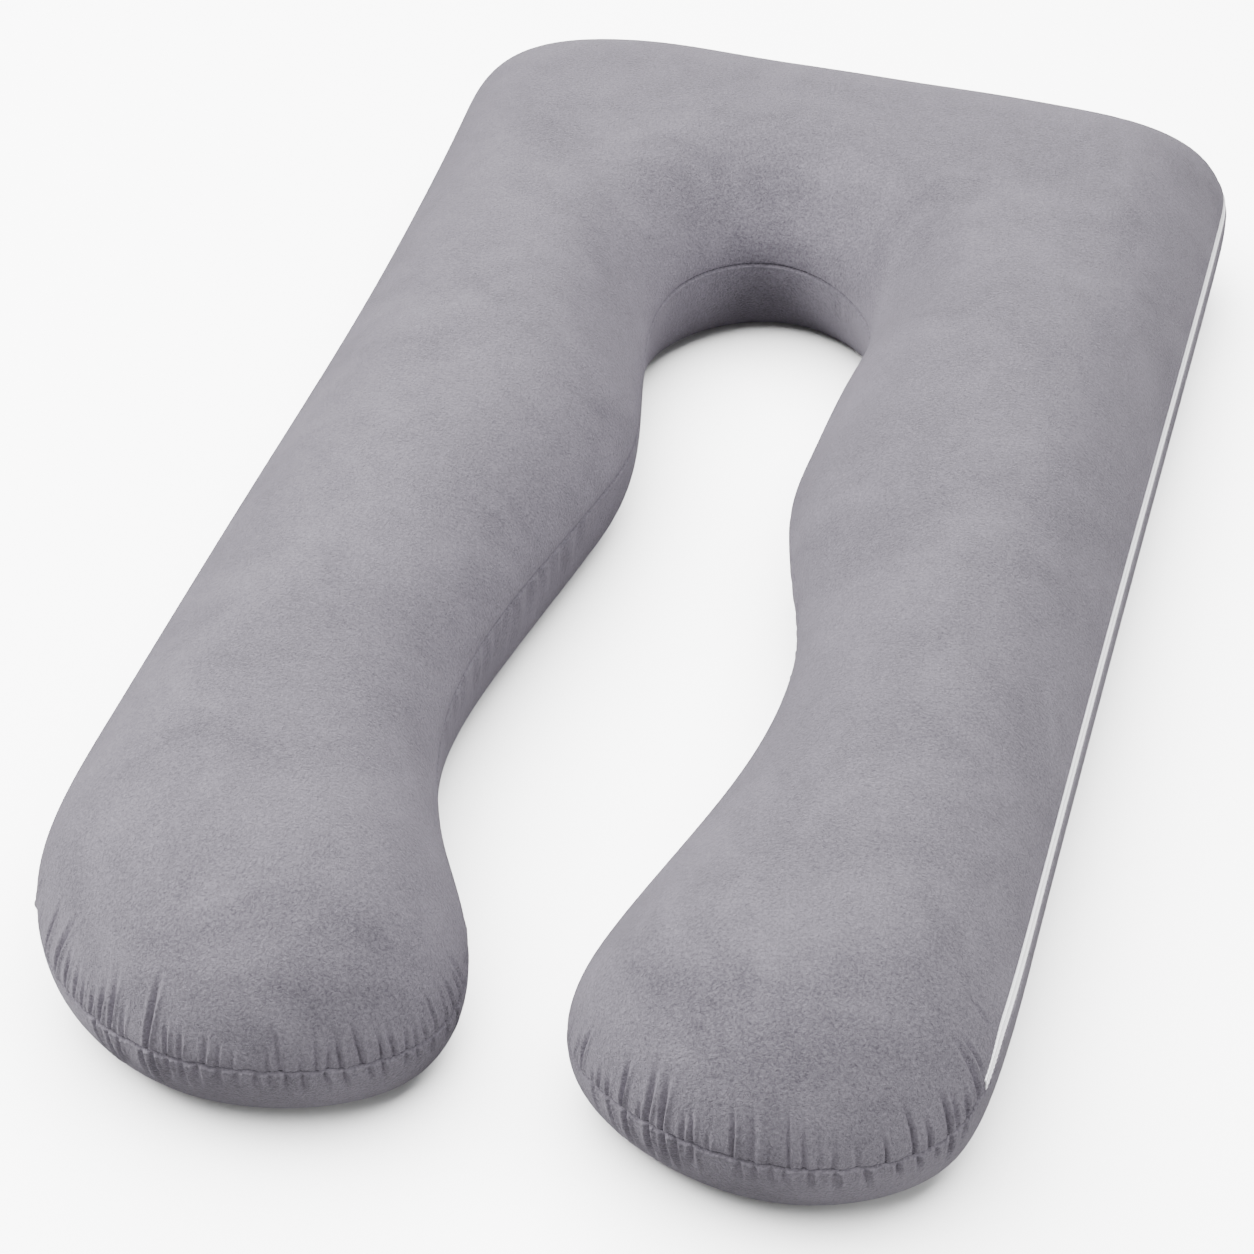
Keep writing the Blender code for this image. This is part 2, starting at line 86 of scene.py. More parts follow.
@dataclass(frozen=True)
class Gather:
    """One gather that runs from the seam up or down a panel, sizes in millimetres.

    along is measured on the seam from the foot's end, towards +X. start and reach are
    measured from the seam. lean and bow shift the far end and the middle along the seam.
    half_width is from the valley to its ridge, and crisp is from 0, soft, to 1, sharp.
    """

    along: float
    reach: float
    lean: float
    bow: float
    half_width: float
    depth: float
    crisp: float
    start: float = 0.0


@dataclass(frozen=True)
class Pull:
    """One soft pull in the top panel, from a start near the seam to its far end."""

    start: tuple[float, float]
    end: tuple[float, float]
    half_width: float
    depth: float


OUTLINE = (
    SeamPlace("arch side", (0.0890, 0.3338, 0.093), (-0.1005, 0.3403, 0.105)),
    SeamPlace("neck top", (0.0940, 0.2056, 0.101), (-0.1040, 0.2040, 0.102)),
    SeamPlace("neck middle", (0.0850, 0.0858, 0.100), (-0.0805, 0.0861, 0.100)),
    SeamPlace("neck bottom", (0.0877, -0.0071, 0.104), (-0.0874, -0.0074, 0.103)),
    SeamPlace("waist top", (0.1305, -0.1635, 0.114), (-0.1149, -0.1645, 0.114)),
    SeamPlace("waist bottom", (0.1290, -0.3395, 0.117), (-0.1283, -0.3398, 0.117)),
    SeamPlace("foot shoulder", (0.0885, -0.4761, 0.104), (-0.0888, -0.4771, 0.104)),
    SeamPlace("foot inner side", (0.0580, -0.5470, 0.074), (-0.0490, -0.5449, 0.074)),
    SeamPlace("foot inner corner", (0.0615, -0.6370, 0.072), (-0.0515, -0.6582, 0.072)),
    SeamPlace("foot end", (0.2238, -0.7125, 0.081), (-0.2219, -0.7258, 0.079)),
    SeamPlace("foot outer corner", (0.3545, -0.6550, 0.083), (-0.3585, -0.6555, 0.080)),
    SeamPlace("foot outer side", (0.3808, -0.5939, 0.110), (-0.3865, -0.5958, 0.112)),
    SeamPlace("leg side low", (0.3875, -0.4304, 0.112), (-0.3965, -0.4303, 0.113)),
    SeamPlace("leg side middle", (0.3938, -0.1232, 0.106), (-0.3948, -0.1233, 0.107)),
    SeamPlace("leg side high", (0.4022, 0.2316, 0.095), (-0.3946, 0.2316, 0.095)),
    SeamPlace("head side", (0.4108, 0.5652, 0.092), (-0.4078, 0.5652, 0.091)),
    SeamPlace("head corner", (0.3945, 0.6525, 0.095), (-0.3958, 0.6530, 0.095)),
    SeamPlace("head end", (0.2684, 0.7030, 0.094), (-0.2693, 0.7228, 0.095)),
)
ARCH_CROWN = (-0.0093, 0.4070, 0.0985)
HEAD_MIDDLE = (0.0001, 0.7172, 0.0945)

# along, reach, lean, bow, half width, depth, crispness, start
RIGHT_TOP_GATHERS = (
    Gather(-192, 38, 2, 1, 2.5, 2.7, 0.5),
    Gather(-173, 45, 4, 0, 2.5, 2.8, 0.5),
    Gather(-158, 56, -2, -3, 2.5, 4.6, 0.9),
    Gather(-144, 22, -3, 0, 2.3, 2.3, 0.4),
    Gather(-137, 31, 0, 0, 2.3, 2.8, 0.5),
    Gather(-127, 28, 0, 0, 2.3, 2.8, 0.5),
    Gather(-111, 58, -2, 0, 2.5, 5.0, 0.9),
    Gather(-94, 25, 0, 0, 2.3, 2.3, 0.4),
    Gather(-87, 69, -3, 2, 3.1, 4.0, 0.6),
    Gather(-73, 62, -2, 0, 3.0, 5.0, 0.8),
    Gather(-55, 36, 0, 0, 2.9, 2.7, 0.4),
    Gather(-47, 43, -4, 0, 2.5, 3.0, 0.5),
    Gather(-34, 25, 0, 0, 2.3, 1.7, 0.2),
    Gather(-15, 56, -6, 2, 2.1, 4.1, 1.0),
    Gather(0, 67, -8, 3, 4.1, 2.3, 0.2),
    Gather(13, 31, -2, 0, 2.9, 1.7, 0.2),
    Gather(28, 65, -4, 0, 2.1, 3.3, 0.8),
    Gather(39, 54, -3, 0, 3.1, 3.4, 0.5),
    Gather(49, 31, 0, 0, 2.9, 1.7, 0.2),
    Gather(60, 34, 0, 0, 2.9, 2.0, 0.2),
    Gather(78, 31, -2, 0, 2.9, 1.7, 0.2),
    Gather(100, 38, -6, 2, 1.9, 3.1, 0.8),
    Gather(122, 63, -11, 3, 2.5, 4.6, 0.9),
    Gather(135, 43, -7, 2, 2.5, 3.7, 0.7),
    Gather(152, 58, -7, 2, 2.5, 5.0, 0.9),
    Gather(160, 47, -4, 0, 2.5, 3.0, 0.6),
    Gather(169, 34, -2, 2, 2.5, 4.3, 0.7),
    Gather(182, 72, -5, 3, 3.0, 5.0, 1.0),
    Gather(191, 63, -6, 3, 2.1, 4.1, 1.0, 14),
    Gather(218, 52, 2, 1, 2.3, 2.7, 0.6, 16),
)
RIGHT_UNDER_GATHERS = (
    Gather(-144, 38, 8, 0, 2.9, 2.8, 0.5),
    Gather(-126, 41, 9, 0, 2.9, 3.4, 0.6),
    Gather(-108, 51, 6, 0, 3.5, 4.4, 0.6),
    Gather(-86, 51, 4, 0, 3.5, 4.1, 0.6),
    Gather(-72, 46, 5, 0, 3.5, 4.4, 0.6),
    Gather(-61, 41, 3, 0, 2.9, 3.1, 0.5),
    Gather(-47, 32, 0, 0, 3.3, 2.8, 0.4),
    Gather(-10, 26, 3, 0, 3.3, 2.8, 0.4),
    Gather(2, 24, 2, 0, 3.3, 2.8, 0.4),
    Gather(14, 24, 2, 0, 3.3, 2.5, 0.4),
    Gather(24, 24, 2, 0, 3.0, 2.5, 0.4),
    Gather(43, 24, 0, 0, 3.3, 2.8, 0.4),
    Gather(62, 26, 0, 0, 4.0, 3.1, 0.4),
    Gather(84, 26, 3, 0, 4.0, 2.8, 0.4),
    Gather(109, 24, 2, 0, 2.9, 3.1, 0.5),
    Gather(125, 24, 4, 0, 2.9, 3.1, 0.6),
    Gather(141, 22, 0, 0, 2.9, 2.8, 0.5),
    Gather(154, 38, 0, 0, 2.9, 3.9, 0.7),
    Gather(168, 26, -4, 0, 3.3, 2.5, 0.4),
)
LEFT_TOP_GATHERS = (
    Gather(-216, 49, 0, 2, 2.1, 4.1, 0.9),
    Gather(-196, 45, 2, 0, 2.9, 1.7, 0.3),
    Gather(-177, 74, 2, 2, 2.5, 4.6, 0.9),
    Gather(-157, 87, 16, -4, 3.1, 4.6, 0.7),
    Gather(-141, 54, 2, 0, 2.5, 3.4, 0.5),
    Gather(-128, 49, 4, 0, 2.5, 3.0, 0.5),
    Gather(-118, 45, 2, 1, 2.3, 2.7, 0.5),
    Gather(-107, 38, 4, 1, 2.6, 2.7, 0.4),
    Gather(-95, 52, 4, 0, 2.5, 3.7, 0.6),
    Gather(-83, 67, 0, 2, 2.8, 4.0, 0.6),
    Gather(-70, 47, 2, 0, 2.9, 2.0, 0.2),
    Gather(-46, 83, 6, 1, 3.2, 5.0, 0.9),
    Gather(-28, 40, 0, 0, 2.1, 3.8, 0.9),
    Gather(-16, 38, 2, 0, 2.3, 2.7, 0.5),
    Gather(3, 34, 4, 0, 2.5, 3.0, 0.5),
    Gather(14, 31, 3, 0, 2.3, 2.7, 0.5),
    Gather(25, 27, 2, 0, 2.6, 1.7, 0.3),
    Gather(53, 31, 0, 0, 2.9, 2.1, 0.3),
    Gather(63, 58, -4, 0, 3.5, 2.8, 0.4),
    Gather(77, 31, 3, 0, 2.9, 2.0, 0.3),
    Gather(90, 47, 0, 0, 2.9, 2.7, 0.4),
    Gather(98, 52, 7, 0, 2.9, 2.7, 0.4),
    Gather(109, 47, -4, 0, 3.1, 4.0, 0.5),
    Gather(125, 54, -6, 0, 3.3, 4.6, 0.5),
    Gather(140, 38, -4, 2, 2.1, 3.8, 0.9),
    Gather(151, 45, -5, 0, 2.8, 3.4, 0.6),
    Gather(162, 31, 0, 0, 2.3, 3.0, 0.6),
    Gather(171, 28, -2, 0, 2.3, 3.0, 0.6),
    Gather(181, 30, -4, 0, 2.3, 2.8, 0.6),
    Gather(191, 54, -4, 2, 2.1, 3.3, 0.8),
    Gather(206, 40, 0, 0, 1.9, 3.1, 0.8),
    Gather(217, 47, -5, 3, 2.1, 4.1, 0.9),
    Gather(230, 39, -2, 2, 1.9, 3.3, 0.8),
    Gather(241, 54, -8, 2, 2.5, 4.0, 0.6),
    Gather(254, 54, 4, 4, 2.1, 3.6, 0.8),
    Gather(267, 40, 2, 0, 2.5, 3.0, 0.6),
    Gather(284, 40, 14, 4, 2.5, 2.7, 0.5),
)
LEFT_UNDER_GATHERS = (
    Gather(-103, 56, 12, 0, 3.5, 4.1, 0.6),
    Gather(-88, 48, 6, 0, 2.9, 2.8, 0.5),
    Gather(-76, 44, 2, 0, 2.9, 2.8, 0.5),
    Gather(-52, 38, 2, 0, 2.9, 3.1, 0.5),
    Gather(-42, 51, 4, 0, 3.5, 4.4, 0.7),
    Gather(-28, 32, 0, 0, 2.9, 3.1, 0.5),
    Gather(-16, 32, 2, 0, 2.9, 3.1, 0.5),
    Gather(-3, 29, -2, 0, 4.0, 3.4, 0.4),
    Gather(14, 26, 0, 0, 4.0, 3.4, 0.4),
    Gather(28, 24, 0, 0, 3.3, 2.8, 0.4),
    Gather(43, 24, 0, 0, 3.3, 2.8, 0.4),
    Gather(54, 22, 0, 0, 3.0, 2.5, 0.4),
    Gather(67, 22, -2, 0, 3.0, 2.8, 0.4),
    Gather(79, 29, 0, 0, 2.9, 2.8, 0.5),
    Gather(95, 24, 4, 0, 2.9, 3.4, 0.6),
    Gather(110, 28, 2, 0, 2.9, 3.4, 0.6),
    Gather(130, 23, 0, 0, 2.6, 2.8, 0.5),
    Gather(141, 24, 0, 0, 2.6, 3.4, 0.6),
    Gather(161, 24, -2, 0, 2.9, 3.1, 0.5),
    Gather(171, 22, 0, 0, 2.6, 2.8, 0.5),
    Gather(188, 22, -4, 0, 2.9, 2.8, 0.5),
    Gather(207, 24, -4, 0, 2.9, 2.8, 0.5),
    Gather(223, 34, -2, 0, 2.9, 3.1, 0.6),
)
INNER_LEFT_UNDER_CREASES = (
    Gather(498, 36, 6, 0, 7.0, 2.4, 0.3),
    Gather(532, 34, 0, 0, 8.0, 2.6, 0.4),
    Gather(558, 38, -12, 2, 8.0, 3.0, 0.5),
    Gather(587, 60, 10, -3, 7.0, 3.6, 0.7),
    Gather(611, 56, -9, 2, 9.0, 3.2, 0.4),
    Gather(633, 44, -6, 0, 8.0, 2.2, 0.3),
    Gather(654, 40, -9, 0, 8.0, 3.0, 0.5),
    Gather(673, 62, -7, -3, 9.0, 3.4, 0.4),
    Gather(701, 58, -7, 2, 10.0, 3.4, 0.4),
    Gather(722, 54, -2, 0, 8.0, 3.2, 0.5),
    Gather(745, 44, 3, 0, 9.0, 2.2, 0.3),
    Gather(767, 58, 4, 0, 10.0, 3.0, 0.3),
    Gather(803, 36, -10, 0, 9.0, 2.6, 0.3),
)
INNER_RIGHT_UNDER_CREASES = (
    Gather(-505, 40, -5, 0, 8.0, 2.6, 0.3),
    Gather(-541, 36, 4, 0, 8.0, 2.4, 0.4),
    Gather(-572, 54, 9, 2, 8.0, 3.2, 0.5),
    Gather(-604, 46, 3, 0, 9.0, 2.8, 0.4),
    Gather(-628, 58, 8, -2, 8.0, 3.4, 0.5),
    Gather(-662, 44, 5, 0, 10.0, 2.8, 0.3),
    Gather(-697, 60, 7, 2, 9.0, 3.2, 0.4),
    Gather(-731, 48, -3, 0, 9.0, 2.6, 0.3),
    Gather(-776, 52, -5, 0, 10.0, 2.6, 0.3),
    Gather(-1239, 48, 8, -4, 6.0, 2.6, 0.6),
)
TOP_PULLS = (
    Pull((-0.105, 0.235), (-0.200, 0.400), 0.024, 0.0022),
    Pull((-0.092, 0.338), (-0.185, 0.395), 0.012, 0.0018),
    Pull((-0.098, 0.290), (-0.190, 0.318), 0.011, 0.0014),
    Pull((-0.062, 0.385), (-0.118, 0.478), 0.012, 0.0014),
    Pull((-0.108, 0.228), (-0.180, 0.252), 0.010, 0.0013),
    Pull((0.085, 0.330), (0.215, 0.450), 0.024, 0.0022),
    Pull((0.078, 0.362), (0.190, 0.358), 0.009, 0.0021),
    Pull((0.088, 0.330), (0.190, 0.300), 0.012, 0.0015),
    Pull((0.052, 0.388), (0.108, 0.486), 0.013, 0.0014),
    Pull((0.104, 0.330), (0.122, 0.165), 0.013, 0.0018),
    Pull((0.125, -0.385), (0.180, -0.215), 0.022, 0.0022),
    Pull((0.112, -0.430), (0.172, -0.330), 0.013, 0.0013),
    Pull((-0.120, -0.370), (-0.200, -0.280), 0.022, 0.0022),
    Pull((-0.108, -0.430), (-0.178, -0.372), 0.012, 0.0012),
)


def smooth_step(value: np.ndarray) -> np.ndarray:
    """Rise smoothly from 0 to 1 as the value goes from 0 to 1."""
    value = np.clip(value, 0.0, 1.0)
    return value * value * (3.0 - 2.0 * value)


def link(name: str, data: bpy.types.ID) -> bpy.types.Object:
    """Put new object data into the scene.

    Args:
        name: the object's name.
        data: its mesh, curve, light or camera.

    Returns:
        The new object.
    """
    thing = bpy.data.objects.new(name, data)
    bpy.context.collection.objects.link(thing)
    return thing


def mesh_object(
    name: str, points: np.ndarray, faces: list, smooth: bool = True
) -> bpy.types.Object:
    """Make a mesh object from points and faces, with its faces turned outwards.

    Args:
        name: the object's name.
        points: an array of points, one row each.
        faces: tuples of point numbers.
        smooth: whether the faces are shaded smooth.

    Returns:
        The new object.
    """
    work = bmesh.new()
    verts = [work.verts.new(point) for point in points]
    for face in faces:
        work.faces.new([verts[index] for index in face])
    bmesh.ops.recalc_face_normals(work, faces=work.faces)
    if work.calc_volume(signed=True) < 0.0:
        bmesh.ops.reverse_faces(work, faces=work.faces)
    data = bpy.data.meshes.new(name)
    work.to_mesh(data)
    work.free()
    if smooth:
        data.shade_smooth()
    return link(name, data)


@dataclass
class CutOutline:
    """The panels' cut outline: a closed spline, measured along its length."""

    samples: int = 3000
    plan: np.ndarray = field(init=False)
    inward: np.ndarray = field(init=False)
    heights: np.ndarray = field(init=False)
    places: np.ndarray = field(init=False)
    length: float = field(init=False)
    right_end: float = field(init=False)
    left_end: float = field(init=False)

    def __post_init__(self) -> None:
        """Lay the spline, centre it on the origin and find the two foot ends."""
        traced = self.trace(self.points())
        low = traced[:, :2].min(axis=0)
        high = traced[:, :2].max(axis=0)
        self.plan = traced[:, :2] - (low + high) / 2.0
        self.heights = traced[:, 2]
        ahead = np.roll(self.plan, -1, axis=0) - np.roll(self.plan, 1, axis=0)
        ahead /= np.linalg.norm(ahead, axis=1)[:, None]
        # The loop runs anticlockwise round the cloth, so inward is to the left
        self.inward = np.column_stack([-ahead[:, 1], ahead[:, 0]])
        self.right_end = self.foot_end(self.plan[:, 0] > 0.0)
        self.left_end = self.foot_end(self.plan[:, 0] < 0.0)

    def points(self) -> np.ndarray:
        """Return the outline's points in order: arch, right leg, head, left leg."""
        right = [place.right for place in OUTLINE]
        left = [place.left for place in reversed(OUTLINE)]
        return np.array([ARCH_CROWN, *right, HEAD_MIDDLE, *left])

    def trace(self, points: np.ndarray) -> np.ndarray:
        """Return even samples of the closed cubic spline through the points.

        Args:
            points: the outline's points, a row each: x, y and the edge's height.

        Returns:
            The samples, a row each.
        """
        count = len(points)
        following = np.roll(points, -1, axis=0)
        spans = np.sqrt(np.linalg.norm((following - points)[:, :2], axis=1))
        slopes = (following - points) / spans[:, None]
        system = np.zeros((count, count))
        for index in range(count):
            system[index, index - 1] += spans[index - 1]
            system[index, index] += 2.0 * (spans[index - 1] + spans[index])
            system[index, (index + 1) % count] += spans[index]
        bends = np.linalg.solve(system, 6.0 * (slopes - np.roll(slopes, 1, axis=0)))
        steps = np.linspace(0.0, 1.0, 2 * self.samples // count, endpoint=False)[:, None]
        rest = 1.0 - steps
        pieces = []
        for index in range(count):
            after = (index + 1) % count
            straight = rest * points[index] + steps * points[after]
            bend = (rest**3 - rest) * bends[index] + (steps**3 - steps) * bends[after]
            pieces.append(straight + bend * spans[index] ** 2 / 6.0)
        dense = np.concatenate([*pieces, pieces[0][:1]])
        steps_long = np.linalg.norm(np.diff(dense[:, :2], axis=0), axis=1)
        travelled = np.concatenate([[0.0], np.cumsum(steps_long)])
        self.length = float(travelled[-1])
        self.places = np.linspace(0.0, self.length, self.samples, endpoint=False)
        return np.column_stack([np.interp(self.places, travelled, dense[:, k]) for k in range(3)])

    def foot_end(self, side: np.ndarray) -> float:
        """Return the place of the lowest point, in plan, of one leg."""
        chosen = np.flatnonzero(side)
        return float(self.places[chosen[np.argmin(self.plan[chosen, 1])]])

    def read(self, column: np.ndarray, where: np.ndarray) -> np.ndarray:
        """Read one of the outline's columns at places along it."""
        places = np.append(self.places, self.length)
        closed = np.append(column, column[0])
        return np.interp(np.mod(where, self.length), places, closed)

    def from_end(self, where: np.ndarray, end: float) -> np.ndarray:
        """Return the signed distance along the outline from a foot's end."""
        return np.mod(where - end + self.length / 2.0, self.length) - self.length / 2.0


@dataclass
class StuffedSurface:
    """The surface of the stuffed cover, found by place along and away from the seam."""

    outline: CutOutline
    height: float = 0.207
    top_reach: float = 0.1275
    top_power: float = 1.76
    under_reach: float = 0.0587
    under_power: float = 2.21
    zip_start: float = 0.193
    zip_length: float = 1.280
    zip_ramp: float = 0.090
    zip_rise_low: float = 0.0160
    zip_rise_high: float = 0.0196
    zip_half_width: float = 0.0063
    zip_wall: float = 0.0010
    channel_depth: float = 0.0021
    seam_depth: float = 0.0038
    seam_width: float = 0.0012
    seam_dip: float = 0.0009
    seam_dip_width: float = 0.0055
    welt_height: float = 0.0009
    welt_away: float = -0.0027
    welt_width: float = 0.0011
    wobble: float = 0.0007
    gather_span: float = 0.045
    unevenness: float = 0.0016
    turn_steps: int = 181
    slope_step: float = 0.002
    beside_edge: float = 0.006

    def zip_place(self, where: np.ndarray) -> np.ndarray:
        """Return the distance along the seam from the zip's lower end."""
        return self.outline.from_end(where, self.outline.right_end) - self.zip_start

    def channel(self, where: np.ndarray) -> np.ndarray:
        """Return 1 where the zip's channel runs and 0 elsewhere, with short ramps."""
        place = self.zip_place(where)
        ramp = 0.004
        return smooth_step(place / ramp + 1.0) * smooth_step((self.zip_length - place) / ramp + 1.0)

    def seam_rise(self, where: np.ndarray) -> np.ndarray:
        """Return how far the seam lies above the widest line, with its small wobble.

        Args:
            where: places along the outline.

        Returns:
            Lengths of cloth, one for each place.
        """
        place = self.zip_place(where)
        share = np.clip(place / self.zip_length, 0.0, 1.0)
        full = self.zip_rise_low + (self.zip_rise_high - self.zip_rise_low) * share
        into = smooth_step((place + self.zip_ramp / 2.0) / self.zip_ramp)
        out = smooth_step((self.zip_length + 1.5 * self.zip_ramp - place) / self.zip_ramp)
        right = self.outline.from_end(where, self.outline.right_end)
        left = self.outline.from_end(where, self.outline.left_end)
        near = smooth_step((0.30 - np.minimum(np.abs(right), np.abs(left))) / 0.10)
        waves = np.sin(where * 310.0) + 0.6 * np.sin(where * 190.0 + 1.3)
        return full * into * out + self.wobble * waves * near * (1.0 - self.channel(where))

    def sections(self, edge: np.ndarray) -> tuple[np.ndarray, np.ndarray, np.ndarray]:
        """Return the cross sections over edges of several heights, floor to crown.

        Args:
            edge: the height of the widest line at each station.

        Returns:
            Distances in from the edge, arc lengths from the edge, and heights.
        """
        turn = np.linspace(0.0, math.pi / 2.0, self.turn_steps)
        top_in = self.top_reach * (1.0 - np.cos(turn) ** (2.0 / self.top_power))
        top_up = np.sin(turn) ** (2.0 / self.top_power)
        under_in = self.under_reach * (1.0 - np.cos(turn) ** (2.0 / self.under_power))
        under_up = np.sin(turn) ** (2.0 / self.under_power)
        inside = np.concatenate([under_in[:0:-1], top_in])
        under = edge[:, None] * (1.0 - under_up[:0:-1])
        top = edge[:, None] + (self.height - edge)[:, None] * top_up
        heights = np.concatenate([under, top], axis=1)
        steps = np.hypot(np.diff(inside)[None, :], np.diff(heights, axis=1))
        arcs = np.concatenate([np.zeros((len(edge), 1)), np.cumsum(steps, axis=1)], axis=1)
        return inside, arcs - arcs[:, self.turn_steps - 1 : self.turn_steps], heights

    def under_arc(self, where: np.ndarray) -> np.ndarray:
        """Return the length of cloth from the widest line down to the floor."""
        _, arcs, _ = self.sections(self.outline.read(self.outline.heights, where))
        return -arcs[:, 0]

    def edge_field(self, points: np.ndarray) -> tuple[np.ndarray, np.ndarray]:
        """Return the smoothed distance to the edge and the edge height felt at points.

        Every stretch of the edge adds 1 / distance^5, so the field equals the true
        distance beside the edge and has no crease along the middle of a leg.

        Args:
            points: points of the plan.

        Returns:
            The distances and the heights, one of each for each point.
        """
        stretch = self.outline.length / self.outline.samples
        distance = np.empty(len(points))
        height = np.empty(len(points))
        for first in range(0, len(points), 1000):
            part = slice(first, first + 1000)
            across = points[part, 0:1] - self.outline.plan[None, :, 0]
            square = across * across
            across = points[part, 1:2] - self.outline.plan[None, :, 1]
            square += across * across
            np.maximum(square, 1e-8, out=square)
            weight = 1.0 / (square * square * np.sqrt(square))
            total = weight.sum(axis=1)
            distance[part] = (4.0 / 3.0 / (total * stretch)) ** 0.25
            height[part] = weight @ self.outline.heights / total
        return distance, height

    def crown_height(self, plan: np.ndarray) -> np.ndarray:
        """Return the top panel's height over plan points well inside the edge."""
        felt, edge = self.edge_field(plan)
        return self.over(plan, felt, edge)

    def over(self, plan: np.ndarray, felt: np.ndarray, edge: np.ndarray) -> np.ndarray:
        """Return the top panel's height from the felt distance and edge height.

        Args:
            plan: points of the plan.
            felt: their smoothed distances to the edge.
            edge: the edge heights felt at them.

        Returns:
            The heights, one for each point.
        """
        share = np.clip(felt / self.top_reach, 0.0, 1.0)
        risen = (1.0 - (1.0 - share) ** self.top_power) ** (1.0 / self.top_power)
        loose = (self.pulls(plan) + self.stuffing(plan)) * smooth_step(share)
        return edge + (self.height - edge) * risen + loose

    def pulls(self, plan: np.ndarray) -> np.ndarray:
        """Return the relief of the soft pulls over plan points.

        Args:
            plan: points of the plan.

        Returns:
            The relief in metres, one for each point.
        """
        relief = np.zeros(len(plan))
        for pull in TOP_PULLS:
            start = np.array(pull.start)
            run = np.array(pull.end) - start
            length = np.linalg.norm(run)
            along = (plan - start) @ run / length**2
            side = np.array([-run[1], run[0]]) / length
            across = (plan - start) @ side / pull.half_width
            fade = smooth_step(along * 4.0 + 0.5) * smooth_step((1.15 - along) * 2.0)
            relief -= pull.depth * np.exp(-(across**2)) * (1.0 - 0.5 * across**2) * fade
        return relief

    def stuffing(self, plan: np.ndarray) -> np.ndarray:
        """Return the low, broad unevenness of the stuffing over plan points.

        Args:
            plan: points of the plan.

        Returns:
            The relief in metres, one for each point.
        """
        x, y = plan[:, 0], plan[:, 1]
        waves = np.sin(17.0 * x + 5.0 * y + 0.6) * np.sin(13.0 * y - 4.0 * x + 1.9)
        waves += 0.7 * np.sin(29.0 * x - 11.0 * y + 2.2) * np.sin(23.0 * y + 9.0 * x)
        return self.unevenness * waves

    def bare(self, where: np.ndarray, away: np.ndarray) -> tuple[np.ndarray, np.ndarray]:
        """Return points of the smooth surface and its outward directions.

        Args:
            where: places along the outline.
            away: lengths of cloth from the seam, above it positive.

        Returns:
            The points and the unit outward directions, a row for each place.
        """
        points = np.empty((len(where), 3))
        outward = np.empty((len(where), 3))
        for first in range(0, len(where), 4000):
            part = slice(first, first + 4000)
            points[part], outward[part] = self.bare_part(where[part], away[part])
        return points, outward

    def bare_part(self, where: np.ndarray, away: np.ndarray) -> tuple[np.ndarray, np.ndarray]:
        """Return bare() for a short run of places.

        Args:
            where: places along the outline.
            away: lengths of cloth from the seam.

        Returns:
            The points and the unit outward directions.
        """
        outline = self.outline
        edge = outline.read(outline.heights, where)
        inside, arcs, heights = self.sections(edge)
        target = away + self.seam_rise(where)
        rows = np.arange(len(where))

        def on_section(arc: np.ndarray) -> tuple[np.ndarray, np.ndarray]:
            """Read the distance in and the height at one arc length each.

            Args:
                arc: one arc length for each place.

            Returns:
                The distances in and the heights.
            """
            after = np.clip((arcs < arc[:, None]).sum(axis=1), 1, arcs.shape[1] - 1)
            low = arcs[rows, after - 1]
            share = np.clip((arc - low) / (arcs[rows, after] - low), 0.0, 1.0)
            deep = inside[after - 1] + share * (inside[after] - inside[after - 1])
            high = heights[rows, after - 1]
            return deep, high + share * (heights[rows, after] - high)

        deep, high = on_section(target)
        deep_before, high_before = on_section(target - self.slope_step)
        deep_after, high_after = on_section(target + self.slope_step)
        slope = np.column_stack([deep_after - deep_before, high_after - high_before])
        slope /= np.linalg.norm(slope, axis=1)[:, None]
        plan = np.column_stack([outline.read(outline.plan[:, k], where) for k in (0, 1)])
        inward = np.column_stack([outline.read(outline.inward[:, k], where) for k in (0, 1)])
        inward /= np.linalg.norm(inward, axis=1)[:, None]
        plan = plan + inward * deep[:, None]
        top = target > 0.0
        if top.any():
            felt, felt_edge = self.edge_field(plan[top])
            blend = smooth_step(deep[top] / self.beside_edge)
            felt = deep[top] + (felt - deep[top]) * blend
            felt_edge = edge[top] + (felt_edge - edge[top]) * blend
            high[top] = self.over(plan[top], felt, felt_edge)
        outward = np.column_stack([-slope[:, 1:2] * inward, slope[:, 0]])
        return np.column_stack([plan, high]), outward

    def gathered(self, where: np.ndarray, away: np.ndarray) -> np.ndarray:
        """Return the relief of all gathers at places beside the seam.

        Args:
            where: places along the outline.
            away: lengths of cloth from the seam.

        Returns:
            The relief in metres, one for each place.
        """
        relief = np.zeros(len(where))
        tables = (
            (self.outline.right_end, Panel.TOP, RIGHT_TOP_GATHERS),
            (self.outline.right_end, Panel.UNDER, RIGHT_UNDER_GATHERS),
            (self.outline.left_end, Panel.TOP, LEFT_TOP_GATHERS),
            (self.outline.left_end, Panel.UNDER, LEFT_UNDER_GATHERS),
            (self.outline.right_end, Panel.UNDER, INNER_RIGHT_UNDER_CREASES),
            (self.outline.left_end, Panel.UNDER, INNER_LEFT_UNDER_CREASES),
        )
        for end, panel, gathers in tables:
            along = self.outline.from_end(where, end)
            out = away * panel.value
            for gather in gathers:
                beside = np.abs(along - gather.along * MM) < self.gather_span
                near = np.flatnonzero(beside & (out >= 0.0) & (out < gather.reach * MM))
                relief[near] += self.gather_relief(gather, along[near] / MM, out[near] / MM)
        return relief

